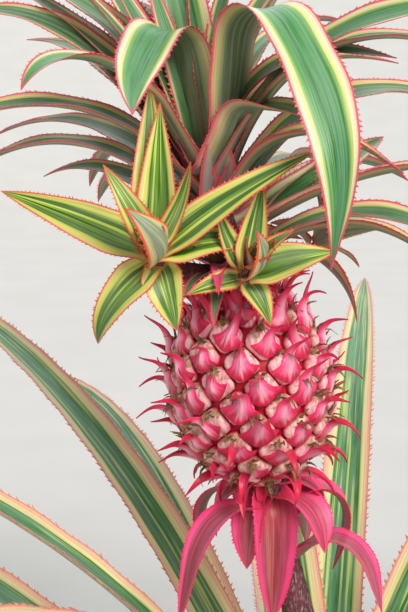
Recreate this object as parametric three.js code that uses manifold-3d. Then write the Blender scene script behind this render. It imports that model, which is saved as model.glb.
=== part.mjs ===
// A red pineapple plant with striped, thorny leaves, rooted in the ground.
// Millimetres, +Z up. The origin is the middle of the flat cut under the stem, at ground level,
// and the side that faces the light is -Y.
// From the ground up: a short stout stem, a rosette of long leaves round it, a bent fruit stalk with
// a collar of drooping leaves, one fruit, a leafy crown on the fruit, and four small offsets (slips)
// round the foot of the crown.

import * as THREE from "three";
import { ConvexGeometry } from "three/addons/geometries/ConvexGeometry.js";
import { mergeVertices } from "three/addons/utils/BufferGeometryUtils.js";
import Module from "manifold-3d";

const wasm = await Module();
wasm.setup();

// Driving dimensions
const GAP = 0.3; // between pieces that touch
const GOLDEN_ANGLE = 137.50776; // turn from one leaf, or one fruitlet, to the next
const LIGHT_SIDE = 270; // azimuth that the plant faces; azimuth 0 is +X and 90 is +Y

const STEM = { height: 190, footRadius: 46, radius: 33, topRadius: 19, sides: 20 };
const STALK = { footRadius: 16, radius: 11.5, headRadius: 17, rings: 11, sides: 12, straight: 90, headRun: 60 };
const FRUIT = {
  base: [-46, -5, 430],
  lean: 8.8,
  height: 137,
  radius: 54,
  fruitlets: 98,
  seat: 20,
  swell: 2.6,
};
const BRACT = { length: 33, width: 17, channel: 0.45, sunk: 2, sections: 2 };
const CROWN = {
  lean: 14,
  height: 96,
  footRadius: 19,
  radius: 13,
  topRadius: 6,
  rings: 8,
  sides: 12,
  bareFront: 0.3,
  clearance: 26,
};
const LEAF_THICKNESS = 1 / 100; // of the leaf's length, at its keel
const THINNEST_LEAF = 1.6;

const ROSETTE = { leaves: 26, start: 40, width: 46, lowest: 16, highest: 176, sunk: 8 };
const CROWN_HEART = { leaves: 10, start: 75, width: 30, lowest: 68, highest: 94 };
const CROWN_FOOT = { leaves: 8, start: 20, width: 17, lowest: 3, highest: 17 };

// Width of a blade along its length: its share at the root, where it is full, and how late it narrows
const STRAP = { root: 0.6, full: 0.14, power: 3.2 };
const LANCE = { root: 0.62, full: 0.25, power: 1.9 };

const COLOURS = {
  stem: 0x6f6248,
  stalk: 0x7a4a4c,
  fruit: 0xd2375a,
  leaf: 0x4f7a4c,
  crown: 0x5c7a58,
  slip: 0x9db43a,
  collar: 0xb5304f,
};

// Numbers and curves
const rad = THREE.MathUtils.degToRad;
const lerp = THREE.MathUtils.lerp;

// A repeatable value from -1 to 1 that stands in for natural variation.
function wobble(index, channel) {
  const wave = Math.sin(index * 12.9898 + channel * 78.233 + 4.137) * 43758.5453;
  return 2 * (wave - Math.floor(wave)) - 1;
}

// How far a direction at this azimuth faces the light, from 0 to 1.
function facing(azimuth) {
  return Math.max(0, Math.cos(rad(azimuth - LIGHT_SIDE)));
}

// An upright axis that leans towards -X.
function leaning(degrees) {
  return new THREE.Vector3(-Math.sin(rad(degrees)), 0, Math.cos(rad(degrees)));
}

// The matrix of a frame at origin whose +Z is up and whose +X is as near towards as it can be.
function frameAt(origin, up, towards = new THREE.Vector3(1, 0, 0)) {
  const z = up.clone().normalize();
  const x = towards.clone().addScaledVector(z, -towards.dot(z)).normalize();
  const y = new THREE.Vector3().crossVectors(z, x);
  return new THREE.Matrix4().makeBasis(x, y, z).setPosition(origin);
}

// Solids
function solidOf(geometry) {
  const bare = geometry.clone();
  bare.deleteAttribute("normal");
  bare.deleteAttribute("uv");
  const merged = mergeVertices(bare, 1e-4);
  return new wasm.Manifold(
    new wasm.Mesh({
      numProp: 3,
      vertProperties: new Float32Array(merged.attributes.position.array),
      triVerts: new Uint32Array(merged.index.array),
    }),
  );
}

function geometryOf(solid) {
  const mesh = solid.getMesh();
  const positions = new Float32Array(mesh.numVert * 3);
  for (let i = 0; i < mesh.numVert; i++) {
    positions.set(mesh.vertProperties.subarray(i * mesh.numProp, i * mesh.numProp + 3), i * 3);
  }
  const geometry = new THREE.BufferGeometry();
  geometry.setAttribute("position", new THREE.BufferAttribute(positions, 3));
  geometry.setIndex(new THREE.BufferAttribute(new Uint32Array(mesh.triVerts), 1));
  return geometry;
}

function joined(solids) {
  return solids.reduce((whole, solid) => whole.add(solid));
}

// The largest body of a solid, after a cut that may leave scraps.
function largest(solid) {
  return solid.decompose().reduce((best, body) => (body.volume() > best.volume() ? body : best));
}

// A closed skin over rings of equally many points, with a flat cap at the start and a cap or a tip at the end.
function loft(rings, tip = null) {
  const count = rings[0].length;
  const positions = rings.flat().flatMap((p) => [p.x, p.y, p.z]);
  const faces = [];
  for (let k = 1; k < rings.length; k++) {
    for (let i = 0; i < count; i++) {
      const j = (i + 1) % count;
      const [a, b, c, d] = [(k - 1) * count + i, (k - 1) * count + j, k * count + j, k * count + i];
      faces.push(a, b, c, a, c, d);
    }
  }
  for (let i = 1; i < count - 1; i++) faces.push(0, i + 1, i);
  const last = (rings.length - 1) * count;
  if (tip) {
    positions.push(tip.x, tip.y, tip.z);
    for (let i = 0; i < count; i++) faces.push(last + i, last + ((i + 1) % count), last + count);
  } else {
    for (let i = 1; i < count - 1; i++) faces.push(last, last + i, last + i + 1);
  }
  const geometry = new THREE.BufferGeometry();
  geometry.setAttribute("position", new THREE.Float32BufferAttribute(positions, 3));
  geometry.setIndex(faces);
  return geometry;
}

// A round tube along a curve, whose radius is a function of the share of its length.
function tube(curve, radiusAt, rings, sides, side = new THREE.Vector3(0, 1, 0)) {
  const made = [];
  for (let k = 0; k <= rings; k++) {
    const share = k / rings;
    const middle = curve.getPoint(share);
    const along = curve.getTangent(share);
    const u = new THREE.Vector3().crossVectors(side, along).normalize();
    const v = new THREE.Vector3().crossVectors(along, u);
    const ring = [];
    for (let i = 0; i < sides; i++) {
      const turn = (2 * Math.PI * i) / sides;
      ring.push(
        middle
          .clone()
          .addScaledVector(u, radiusAt(share) * Math.cos(turn))
          .addScaledVector(v, radiusAt(share) * Math.sin(turn)),
      );
    }
    made.push(ring);
  }
  return loft(made);
}

function halfWidth(share, leaf) {
  const shape = leaf.shape;
  const opening = shape.root + (1 - shape.root) * THREE.MathUtils.smoothstep(share, 0, shape.full);
  return (leaf.width / 2) * opening * (1 - share ** shape.power);
}

// A leaf: a channelled blade with a keel, from its root at a height and radius in the frame of what bears
// it. It starts off at azimuth and rise, and turns to fall between two shares of its length.
// grow makes it fuller all round by that much.
function leafGeometry(leaf, grow = 0) {
  const { root, radius, azimuth, rise, fall, bendFrom = -0.1, bendTo = 1.1, length, sections } = leaf;
  const { sweep = 0, roll = 0, channel = 0.35 } = leaf;
  const keel = Math.max(length * LEAF_THICKNESS, THINNEST_LEAF) / 2 + 2 * grow;
  const point = new THREE.Vector3(radius * Math.cos(rad(azimuth)), radius * Math.sin(rad(azimuth)), root);
  const heading = (share) => {
    const bent = THREE.MathUtils.smoothstep(share, bendFrom, bendTo);
    const up = rad(lerp(rise, fall, bent));
    const round = rad(azimuth + sweep * share * share);
    const out = new THREE.Vector3(Math.cos(round), Math.sin(round), 0);
    const along = out.clone().multiplyScalar(Math.cos(up)).setZ(Math.sin(up));
    return { along, across: new THREE.Vector3(-out.y, out.x, 0) };
  };
  const rings = [];
  const substeps = 4;
  for (let k = 0; k < sections; k++) {
    const share = k / sections;
    const { along, across } = heading(share);
    const upper = new THREE.Vector3().crossVectors(along, across);
    across.applyAxisAngle(along, rad(roll * share));
    upper.applyAxisAngle(along, rad(roll * share));
    const half = halfWidth(share, leaf) + 2 * grow;
    const at = (side, lift) => point.clone().addScaledVector(across, side).addScaledVector(upper, lift);
    rings.push([at(half, channel * half), at(0, keel), at(-half, channel * half), at(0, -keel)]);
    for (let n = 0; n < substeps; n++) {
      const step = (k + (n + 0.5) / substeps) / sections;
      point.addScaledVector(heading(step).along, length / sections / substeps);
    }
  }
  return loft(rings, point);
}

function leafSolid(leaf, frame, grow) {
  return solidOf(leafGeometry(leaf, grow).applyMatrix4(frame));
}

// Stem and fruit stalk
function stemRadiusAt(height) {
  const share = height / STEM.height;
  const flare = (STEM.footRadius - STEM.radius) * Math.exp(-height / 16);
  const taper = (STEM.radius - STEM.topRadius) * THREE.MathUtils.smoothstep(share, 0.45, 1);
  return STEM.radius + flare - taper;
}

function stemGeometry(grow = 0) {
  const heights = [0, 0.06, 0.15, 0.3, 0.55, 0.7, 0.85, 1].map((share) => share * STEM.height);
  const profile = heights.map((height) => new THREE.Vector2(stemRadiusAt(height) + grow, height));
  profile.unshift(new THREE.Vector2(0, 0));
  profile.push(new THREE.Vector2(0, STEM.height));
  return new THREE.LatheGeometry(profile, STEM.sides).rotateX(Math.PI / 2);
}

const fruitAxis = leaning(FRUIT.lean);
const fruitBase = new THREE.Vector3(...FRUIT.base);
const fruitTop = fruitBase.clone().addScaledVector(fruitAxis, FRUIT.height);

const stalkCurve = new THREE.CubicBezierCurve3(
  new THREE.Vector3(0, 0, STEM.height + GAP),
  new THREE.Vector3(0, 0, STEM.height + STALK.straight),
  fruitBase.clone().addScaledVector(fruitAxis, -STALK.headRun),
  fruitBase.clone().addScaledVector(fruitAxis, -GAP),
);

function stalkRadiusAt(share) {
  const foot = (STALK.footRadius - STALK.radius) * (1 - THREE.MathUtils.smoothstep(share, 0, 0.3));
  const head = (STALK.headRadius - STALK.radius) * THREE.MathUtils.smoothstep(share, 0.85, 1);
  return STALK.radius + foot + head;
}

function stalkGeometry(grow = 0) {
  return tube(stalkCurve, (share) => stalkRadiusAt(share) + grow, STALK.rings, STALK.sides);
}

// Fruit: fruitlets on a spiral over a barrel that is cut flat where it meets the stalk and the crown
function fruitRadiusAt(height) {
  const share = Math.abs((2 * height) / FRUIT.height - 1);
  return FRUIT.radius * Math.sqrt(Math.max(0, 1 - share ** 2.4));
}

// Heights that share the barrel's skin evenly among the fruitlets.
function fruitletHeights() {
  const slices = 400;
  const step = FRUIT.height / slices;
  const areas = [0];
  for (let i = 0; i < slices; i++) {
    const [low, high] = [fruitRadiusAt(i * step), fruitRadiusAt((i + 1) * step)];
    areas.push(areas[i] + ((low + high) / 2) * Math.hypot(step, high - low));
  }
  const heights = [];
  let slice = 0;
  for (let n = 0; n < FRUIT.fruitlets; n++) {
    const wanted = ((n + 0.5) / FRUIT.fruitlets) * areas[slices];
    while (areas[slice + 1] < wanted) slice++;
    heights.push((slice + (wanted - areas[slice]) / (areas[slice + 1] - areas[slice])) * step);
  }
  return heights;
}

// Where a fruitlet sits: its point on the barrel, the way out from the skin, and the way up along it.
function fruitletSeat(index, height) {
  const turn = rad(index * GOLDEN_ANGLE);
  const nudge = 0.5;
  const slope = (fruitRadiusAt(height + nudge) - fruitRadiusAt(height - nudge)) / (2 * nudge);
  const round = new THREE.Vector3(Math.cos(turn), Math.sin(turn), 0);
  const up = round.clone().multiplyScalar(slope).add(new THREE.Vector3(0, 0, 1)).normalize();
  const out = round.clone().addScaledVector(new THREE.Vector3(0, 0, 1), -slope).normalize();
  const point = round.clone().multiplyScalar(fruitRadiusAt(height)).setZ(height);
  return { point, out, up };
}

// The barrel, with a low peak on each fruitlet.
function fruitBody(seats) {
  const peaks = seats.map(({ point, out }) => point.clone().addScaledVector(out, FRUIT.swell));
  return solidOf(new ConvexGeometry(peaks));
}

// The pointed bract under a fruitlet, which hugs it and then turns outwards.
function bractSolid(index, { point, out, up }, height) {
  const share = height / FRUIT.height;
  const nearTop = THREE.MathUtils.smoothstep(share, 0.8, 1);
  const spacing = Math.sqrt((4 * Math.PI * FRUIT.radius * FRUIT.height * 0.42) / FRUIT.fruitlets);
  const foot = point.clone().addScaledVector(up, -0.42 * spacing);
  const rise = lerp(48, 72, share);
  const leaf = {
    root: 0,
    radius: -BRACT.sunk,
    azimuth: 0,
    rise,
    fall: rise - 48 + 22 * wobble(index, 1),
    bendFrom: 0.2,
    bendTo: 1,
    length: BRACT.length * (1 + 0.14 * wobble(index, 2)) * (1 - 0.3 * nearTop),
    width: BRACT.width,
    channel: BRACT.channel,
    shape: LANCE,
    sections: BRACT.sections,
  };
  return leafSolid(leaf, frameAt(foot, up, out));
}

function fruitSolid() {
  const heights = fruitletHeights();
  const seats = heights.map((height, index) => fruitletSeat(index, height));
  const body = fruitBody(seats);
  const bracts = seats
    .map((seat, index) => [seat, index, heights[index]])
    .filter(([, , height]) => height > 0.07 * FRUIT.height && height < 0.93 * FRUIT.height)
    .map(([seat, index, height]) => bractSolid(index, seat, height));
  const reach = 4 * FRUIT.radius;
  const below = new THREE.BoxGeometry(reach, reach, reach).translate(0, 0, -reach / 2);
  const above = new THREE.BoxGeometry(reach, reach, reach).translate(0, 0, FRUIT.height + reach / 2);
  const seatEnds = new THREE.CylinderGeometry(FRUIT.seat, FRUIT.seat, FRUIT.height, 12)
    .rotateX(Math.PI / 2)
    .translate(0, 0, FRUIT.height / 2);
  const whole = joined([body, ...bracts, solidOf(seatEnds)]);
  const trimmed = largest(whole.subtract(solidOf(below)).subtract(solidOf(above)));
  return solidOf(geometryOf(trimmed).applyMatrix4(frameAt(fruitBase, fruitAxis)));
}

// Crown: its short stem, on the fruit, bears every leaf of the crown
const crownCurve = new THREE.QuadraticBezierCurve3(
  fruitTop.clone().addScaledVector(fruitAxis, GAP),
  fruitTop.clone().addScaledVector(fruitAxis, CROWN.height * 0.3),
  fruitTop.clone().addScaledVector(leaning(CROWN.lean), CROWN.height),
);

function crownStemGeometry(grow = 0) {
  const radiusAt = (share) => {
    const foot = (CROWN.footRadius - CROWN.radius) * (1 - THREE.MathUtils.smoothstep(share, 0, 0.35));
    return lerp(CROWN.radius, CROWN.topRadius, share ** 2) + foot + grow;
  };
  return tube(crownCurve, radiusAt, CROWN.rings, CROWN.sides);
}

const crownFrame = frameAt(fruitTop, leaning(CROWN.lean));

function crownLeaf(fields) {
  return { radius: 4, shape: STRAP, sections: 10, ...fields };
}

// Azimuths that follow the spiral, but leave the side towards the light free, and any azimuth kept.
function crownAzimuths(count, start, kept = []) {
  const azimuths = [];
  for (let i = 0; azimuths.length < count; i++) {
    const azimuth = (start + i * GOLDEN_ANGLE) % 360;
    const free = kept.every((other) => Math.abs(azimuth - other) > CROWN.clearance);
    if (free && facing(azimuth) < CROWN.bareFront) azimuths.push(azimuth);
  }
  return azimuths;
}

// The long outer leaves, lowest first. The slips are in front of them.
const CROWN_RING = [
  {
    azimuth: 345.6, root: 17.8, rise: 28.3, fall: -72.1, bendFrom: -0.06, bendTo: 1.06, length: 234, width: 33.7,
    sweep: -2.2, roll: 18.6, channel: 0.36,
  },
  {
    azimuth: 62, root: 27, rise: 38, fall: -38, bendFrom: -0.1, bendTo: 1.1, length: 262, width: 33, sweep: 0,
    roll: 0, channel: 0.35,
  },
  {
    azimuth: 170, root: 34.9, rise: 64.3, fall: -24.4, bendFrom: 0.02, bendTo: 1.04, length: 243, width: 32.3,
    sweep: -4.7, roll: -7.9, channel: 0.35,
  },
  {
    azimuth: 115, root: 42, rise: 46, fall: -30, bendFrom: -0.1, bendTo: 1.1, length: 280, width: 33, sweep: 0,
    roll: 0, channel: 0.35,
  },
  {
    azimuth: 23.6, root: 49.6, rise: 48.5, fall: -38.7, bendFrom: -0.09, bendTo: 1.07, length: 264, width: 35.2,
    sweep: 7.4, roll: 40.9, channel: 0.35,
  },
  {
    azimuth: 178, root: 57, rise: 82.1, fall: -21.8, bendFrom: -0.19, bendTo: 1, length: 284, width: 31,
    sweep: 30.7, roll: -29.6, channel: 0.37,
  },
  {
    azimuth: 4, root: 61.5, rise: 58.5, fall: -48.6, bendFrom: 0.03, bendTo: 1.07, length: 263, width: 34.7,
    sweep: -35, roll: 11.1, channel: 0.35,
  },
  {
    azimuth: 160.8, root: 63, rise: 70.6, fall: -2.2, bendFrom: 0.15, bendTo: 1.16, length: 268, width: 34,
    sweep: -23.9, roll: -23.6, channel: 0.34,
  },
  {
    azimuth: 346.5, root: 66.5, rise: 66.1, fall: -13.2, bendFrom: -0.14, bendTo: 0.95, length: 277, width: 35.6,
    sweep: -1.8, roll: 44.9, channel: 0.35,
  },
];

// The leaves that show above them, the steep one at the back last.
const FRONT_CROWN_LEAVES = [
  {
    azimuth: 330, root: 78.8, rise: 47.7, fall: -10, bendFrom: 0.43, bendTo: 0.62, length: 119, width: 52,
    sweep: -45.6, roll: -11.4, channel: 0.34,
  },
  {
    azimuth: 194, root: 74, rise: 73.9, fall: -78.9, bendFrom: 0.2, bendTo: 1.41, length: 192, width: 42, sweep: 45,
    roll: -21.7, channel: 0.36,
  },
  {
    azimuth: 341, root: 64, rise: 67.7, fall: -62.1, bendFrom: 0.32, bendTo: 0.52, length: 338, width: 53.5,
    sweep: -140, roll: -12.8, channel: 0.18, sections: 24,
  },
  {
    azimuth: 216.2, root: 68.1, rise: 94.9, fall: -29.1, bendFrom: 0.43, bendTo: 0.63, length: 228, width: 54,
    sweep: 55.5, roll: -29.7, channel: 0.26,
  },
  {
    azimuth: 74.5, root: 86.6, rise: 72, fall: 6, bendFrom: 0.44, bendTo: 0.85, length: 260, width: 44, sweep: 35.2,
    roll: 3.9, channel: 0.28,
  },
];

// The short coloured leaves under the slips.
function crownFoot() {
  return Array.from({ length: CROWN_FOOT.leaves }, (_, i) => {
    const share = i / (CROWN_FOOT.leaves - 1);
    return crownLeaf({
      azimuth: CROWN_FOOT.start + i * GOLDEN_ANGLE,
      root: lerp(CROWN_FOOT.lowest, CROWN_FOOT.highest, share),
      rise: lerp(18, 34, share),
      fall: lerp(-10, -34, share),
      length: lerp(44, 78, share),
      width: CROWN_FOOT.width,
      shape: LANCE,
      sections: 3,
    });
  });
}

// The steep inner leaves.
function crownHeart() {
  const kept = FRONT_CROWN_LEAVES.map((leaf) => leaf.azimuth);
  return crownAzimuths(CROWN_HEART.leaves, CROWN_HEART.start, kept).map((azimuth, i) => {
    const share = i / (CROWN_HEART.leaves - 1);
    return crownLeaf({
      azimuth,
      root: lerp(CROWN_HEART.lowest, CROWN_HEART.highest, share),
      rise: lerp(66, 88, share),
      fall: lerp(8, 78, share),
      length: lerp(250, 120, share ** 2),
      width: lerp(CROWN_HEART.width, 16, share ** 2),
      sections: 6,
    });
  });
}

// Slips: each is a small rosette on its own short stalk, which leaves the side of the crown's stem.
// at is from the fruit's top, and axis is the way that its rosette looks.
const SLIPS = [
  {
    name: "slip_left",
    at: [-54, -47, 31],
    axis: [-0.12, -0.8, 0.58],
    leaves: [
      { azimuth: 222, root: 0, rise: 14, fall: -76, length: 80, width: 30 },
      { azimuth: 284, root: 0, rise: 5, fall: -50, length: 48, width: 30 },
      { azimuth: 90, root: 6, rise: 24, fall: 16, length: 116, width: 34 },
      { azimuth: 150, root: 12, rise: -2, fall: -15, length: 132, width: 34 },
      { azimuth: 15, root: 12, rise: 12, fall: -62, length: 71, width: 33 },
      { azimuth: 29, root: 10, rise: 26, fall: -8, length: 128, width: 27 },
      { azimuth: 85, root: 9, rise: 24, fall: 27, length: 100, width: 31 },
      { azimuth: 53, root: 14, rise: 20, fall: 70, length: 70, width: 16 },
      { azimuth: 122, root: 20, rise: 66, fall: 4, length: 66, width: 21 },
      { azimuth: 334, root: 6, rise: 58, fall: 148, length: 72, width: 32 },
    ],
  },
  {
    name: "slip_right",
    at: [3, -51, 21],
    axis: [0.22, -0.72, 0.66],
    leaves: [
      { azimuth: 306, root: 0, rise: 6, fall: -40, length: 36, width: 22 },
      { azimuth: 200, root: 0, rise: 6, fall: -30, length: 40, width: 18 },
      { azimuth: 20, root: 2, rise: 26, fall: -10, length: 66, width: 32 },
      { azimuth: 330, root: 4, rise: 58, fall: 140, length: 54, width: 28 },
      { azimuth: 85, root: 6, rise: 28, fall: 30, length: 63, width: 23 },
      { azimuth: 128, root: 6, rise: 16, fall: 50, length: 48, width: 20 },
      { azimuth: 26, root: 9, rise: 88, fall: 32, length: 48, width: 17 },
    ],
  },
  { name: "slip_back_right", at: [52, 22, 26], axis: [0.75, 0.3, 0.62], count: 7, reach: 62 },
  { name: "slip_back_left", at: [-22, 56, 26], axis: [-0.25, 0.78, 0.6], count: 7, reach: 74 },
];

const SLIP_STALK = { rootRadius: 6, headRadius: 7, below: 20, above: 24, rings: 5, sides: 7 };

const SLIP_LEAF = { radius: 2, shape: LANCE, sections: 4 };

function slipLeaves(slip) {
  if (slip.leaves) return slip.leaves;
  return Array.from({ length: slip.count }, (_, i) => {
    const share = i / (slip.count - 1);
    return {
      azimuth: i * GOLDEN_ANGLE,
      root: 18 * share,
      rise: lerp(14, 70, share),
      fall: lerp(-34, 50, share),
      length: slip.reach * lerp(1, 0.62, share),
      width: lerp(26, 15, share),
    };
  });
}

function slipSolid(slip, grow) {
  const { rootRadius, headRadius, below, above, rings, sides } = SLIP_STALK;
  const middle = fruitTop.clone().add(new THREE.Vector3(...slip.at));
  const axis = new THREE.Vector3(...slip.axis).normalize();
  const curve = new THREE.QuadraticBezierCurve3(
    fruitTop.clone().addScaledVector(fruitAxis, slip.at[2] / 2),
    middle.clone().addScaledVector(axis, -below),
    middle.clone().addScaledVector(axis, above),
  );
  const radiusAt = (share) => lerp(rootRadius, headRadius, share) * (1 - 0.5 * share ** 6) + grow;
  const frame = frameAt(middle, axis);
  const leaves = slipLeaves(slip).map((leaf) => leafSolid({ ...SLIP_LEAF, ...leaf }, frame, grow));
  return joined([solidOf(tube(curve, radiusAt, rings, sides)), ...leaves]);
}

// Collar: red leaves that droop from the stalk under the fruit. at is the share of the stalk's length.
const COLLAR = [
  { azimuth: 330, at: 0.67, rise: 48, fall: -70, bendFrom: 0.1, bendTo: 0.8, length: 110, width: 30 },
  { azimuth: 70, at: 0.77, rise: 44, fall: -74, bendFrom: 0, bendTo: 0.8, length: 120, width: 27 },
  { azimuth: 222, at: 0.83, rise: 38, fall: -72, bendFrom: 0, bendTo: 0.75, length: 135, width: 25 },
  { azimuth: 148, at: 0.86, rise: 36, fall: -80, bendFrom: 0, bendTo: 0.8, length: 96, width: 28 },
  { azimuth: 5, at: 0.855, rise: 38, fall: -100, bendFrom: 0.1, bendTo: 0.7, length: 108, width: 28 },
  { azimuth: 108, at: 0.91, rise: 30, fall: -84, bendFrom: 0, bendTo: 0.8, length: 84, width: 28 },
  { azimuth: 238, at: 0.935, rise: 14, fall: -85, bendFrom: -0.2, bendTo: 0.6, length: 62, width: 28 },
  { azimuth: 318, at: 0.912, rise: 20, fall: -75, bendFrom: 0, bendTo: 0.9, length: 66, width: 34 },
  { azimuth: 280, at: 0.95, rise: 25, fall: -92, bendFrom: -0.2, bendTo: 0.4, length: 106, width: 32 },
  { azimuth: 40, at: 0.94, rise: 26, fall: -88, bendFrom: 0, bendTo: 0.8, length: 64, width: 30 },
  { azimuth: 192, at: 0.95, rise: 16, fall: -80, bendFrom: 0, bendTo: 0.7, length: 58, width: 24 },
  { azimuth: 350, at: 0.955, rise: 26, fall: -62, bendFrom: 0, bendTo: 1, length: 46, width: 26 },
];

function collarLeaf(fields) {
  return { root: 0, radius: 6, shape: STRAP, sections: 7, ...fields };
}

// Rosette: the plant's long leaves, the oldest and lowest first. They splay out more on the light side.
function rosetteLeaf(index) {
  const share = index / (ROSETTE.leaves - 1);
  const azimuth = (ROSETTE.start + index * GOLDEN_ANGLE) % 360;
  const root = lerp(ROSETTE.lowest, ROSETTE.highest, share);
  return {
    azimuth,
    root,
    radius: stemRadiusAt(root) - ROSETTE.sunk,
    rise: lerp(26, 64, share) - 14 * facing(azimuth) ** 2,
    fall: lerp(-27, 10, share),
    length: 560 + 290 * Math.sin(Math.PI * lerp(0.1, 0.9, share)),
    width: ROSETTE.width,
    sweep: 4 * wobble(index, 3),
    shape: STRAP,
    sections: 12,
  };
}

// Assembly. Each piece gives way to those placed before it, which are kept grown by the gap.
const plant = new THREE.Group();
const placed = [];

function meet(a, b) {
  return a.min.every((low, axis) => low < b.max[axis] && b.min[axis] < a.max[axis]);
}

function clearOfPlaced(solid) {
  const near = placed.filter((other) => meet(solid.boundingBox(), other.boundingBox()));
  return largest(near.reduce((rest, other) => rest.subtract(other), solid));
}

// build gives the piece's solid, grown by an amount.
function place(name, build, colour, roughness) {
  const material = new THREE.MeshStandardMaterial({ color: colour, roughness, metalness: 0 });
  const mesh = new THREE.Mesh(geometryOf(clearOfPlaced(build(0))), material);
  mesh.name = name;
  plant.add(mesh);
  placed.push(build(GAP));
}

const numbered = (name, index) => `${name}_${String(index + 1).padStart(2, "0")}`;

place("stem", (grow) => solidOf(stemGeometry(grow)), COLOURS.stem, 0.85);
place("fruit_stalk", (grow) => solidOf(stalkGeometry(grow)), COLOURS.stalk, 0.8);
for (let i = 0; i < ROSETTE.leaves; i++) {
  place(numbered("rosette_leaf", i), (grow) => leafSolid(rosetteLeaf(i), plant.matrix, grow), COLOURS.leaf, 0.5);
}
COLLAR.forEach((leaf, i) => {
  const frame = new THREE.Matrix4().setPosition(stalkCurve.getPoint(leaf.at));
  place(numbered("collar_leaf", i), (grow) => leafSolid(collarLeaf(leaf), frame, grow), COLOURS.collar, 0.45);
});
place("fruit", fruitSolid, COLOURS.fruit, 0.5);

const heartSolid = (grow) => {
  const leaves = [...crownFoot(), ...crownHeart()].map((leaf) => leafSolid(leaf, crownFrame, grow));
  return joined([solidOf(crownStemGeometry(grow)), ...leaves]);
};
place("crown_heart", heartSolid, COLOURS.crown, 0.5);
for (const slip of SLIPS) place(slip.name, (grow) => slipSolid(slip, grow), COLOURS.slip, 0.45);
[...CROWN_RING, ...FRONT_CROWN_LEAVES].map(crownLeaf).forEach((leaf, i) => {
  place(numbered("crown_leaf", i), (grow) => leafSolid(leaf, crownFrame, grow), COLOURS.crown, 0.5);
});

export default plant;
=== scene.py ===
"""A red pineapple plant with striped, thorny leaves, rooted in the ground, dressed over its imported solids.

The classes hold millimetres and degrees, and repeat the rule by which the part's source grows each leaf, so
every blade stays on its solid. +Z is up, the origin is the middle of the stem's foot, and the side that faces
the light is -Y. A blade, a thorn, a rod and a disc are modelled with Blender's mesh tools, and the classes
shape and place copies of them.
"""

import logging
import math
from collections.abc import Sequence
from dataclasses import dataclass, field, replace
from enum import Enum, IntEnum

import bpy
import numpy as np
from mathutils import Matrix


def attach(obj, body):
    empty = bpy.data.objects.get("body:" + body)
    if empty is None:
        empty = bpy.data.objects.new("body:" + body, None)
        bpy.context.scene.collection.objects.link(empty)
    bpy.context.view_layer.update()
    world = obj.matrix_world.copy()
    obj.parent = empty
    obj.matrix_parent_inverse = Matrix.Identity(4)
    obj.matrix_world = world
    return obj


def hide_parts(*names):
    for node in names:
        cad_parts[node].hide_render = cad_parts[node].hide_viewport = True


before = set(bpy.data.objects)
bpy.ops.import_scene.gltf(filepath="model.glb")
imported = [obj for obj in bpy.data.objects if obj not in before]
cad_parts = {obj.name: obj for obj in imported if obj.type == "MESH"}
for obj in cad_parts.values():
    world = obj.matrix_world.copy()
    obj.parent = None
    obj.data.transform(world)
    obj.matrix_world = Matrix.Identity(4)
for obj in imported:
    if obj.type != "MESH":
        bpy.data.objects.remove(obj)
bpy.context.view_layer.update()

MM = 0.001  # metres in a millimetre
GOLDEN_ANGLE = 137.50776  # turn from one leaf, or one fruitlet, to the next
LIGHT_SIDE = 270.0  # azimuth that the plant faces
BODY = "root"  # nothing on the plant moves
UV_NAME = "blade"  # across and along a blade, from 0 to 1
UNDER, OVER = 6, 7  # a Mix node's colours, where its factor is 0 and where it is 1
MIX = {"output": 2, "data_type": "RGBA"}  # such a node's settings, and which output has its result
SMOOTH_ANGLE = 55.0  # faces that meet at less than this are shaded as one skin
UP = np.array([0.0, 0.0, 1.0])

Hex = str
Place = np.ndarray  # a 4 by 4 matrix, in millimetres
Line = tuple[float, ...]  # a leaf's numbers, in the order that its table gives

log = logging.getLogger("pineapple_plant")


# Numbers and curves


def lerp(low: float, high: float, share: float | np.ndarray) -> float | np.ndarray:
    """Returns the value at a share of the way from low to high."""
    return low + (high - low) * share


def smoothstep(value: float | np.ndarray, low: float, high: float) -> float | np.ndarray:
    """Turns from 0 to 1 without a kink.

    Args:
        value: Where to read the step.
        low: Below it the step is 0.
        high: Above it the step is 1.

    Returns:
        The step at value.
    """
    share = np.clip((value - low) / (high - low), 0.0, 1.0)
    return share * share * (3.0 - 2.0 * share)


def wobble(index: float, channel: float) -> float:
    """Gives a repeatable value that stands in for natural variation.

    Args:
        index: Which leaf or fruitlet.
        channel: Which of its traits.

    Returns:
        A value from -1 to 1.
    """
    wave = math.sin(index * 12.9898 + channel * 78.233 + 4.137) * 43758.5453
    return 2.0 * (wave - math.floor(wave)) - 1.0


def facing(azimuth: float) -> float:
    """Returns how far a direction faces the light, from 0 to 1."""
    return max(0.0, math.cos(math.radians(azimuth - LIGHT_SIDE)))


def leaning(degrees: float) -> np.ndarray:
    """Returns an upright axis that leans towards -X."""
    return np.array([-math.sin(math.radians(degrees)), 0.0, math.cos(math.radians(degrees))])


def unit(vectors: np.ndarray) -> np.ndarray:
    """Returns the vectors, each with length 1."""
    return vectors / np.linalg.norm(vectors, axis=-1, keepdims=True)


def frame_at(origin: Sequence[float], up: Sequence[float]) -> Place:
    """Makes the frame of what bears a leaf.

    Args:
        origin: Its middle.
        up: Its +Z; its +X is as near to the plant's as it can be.

    Returns:
        The matrix from that frame to the plant's.
    """
    z = unit(np.asarray(up, float))
    side = np.array([1.0, 0.0, 0.0])
    x = unit(side - z * (side @ z))
    place = np.eye(4)
    place[:3, :3] = np.stack([x, np.cross(z, x), z], axis=1)
    place[:3, 3] = origin
    return place


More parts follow.
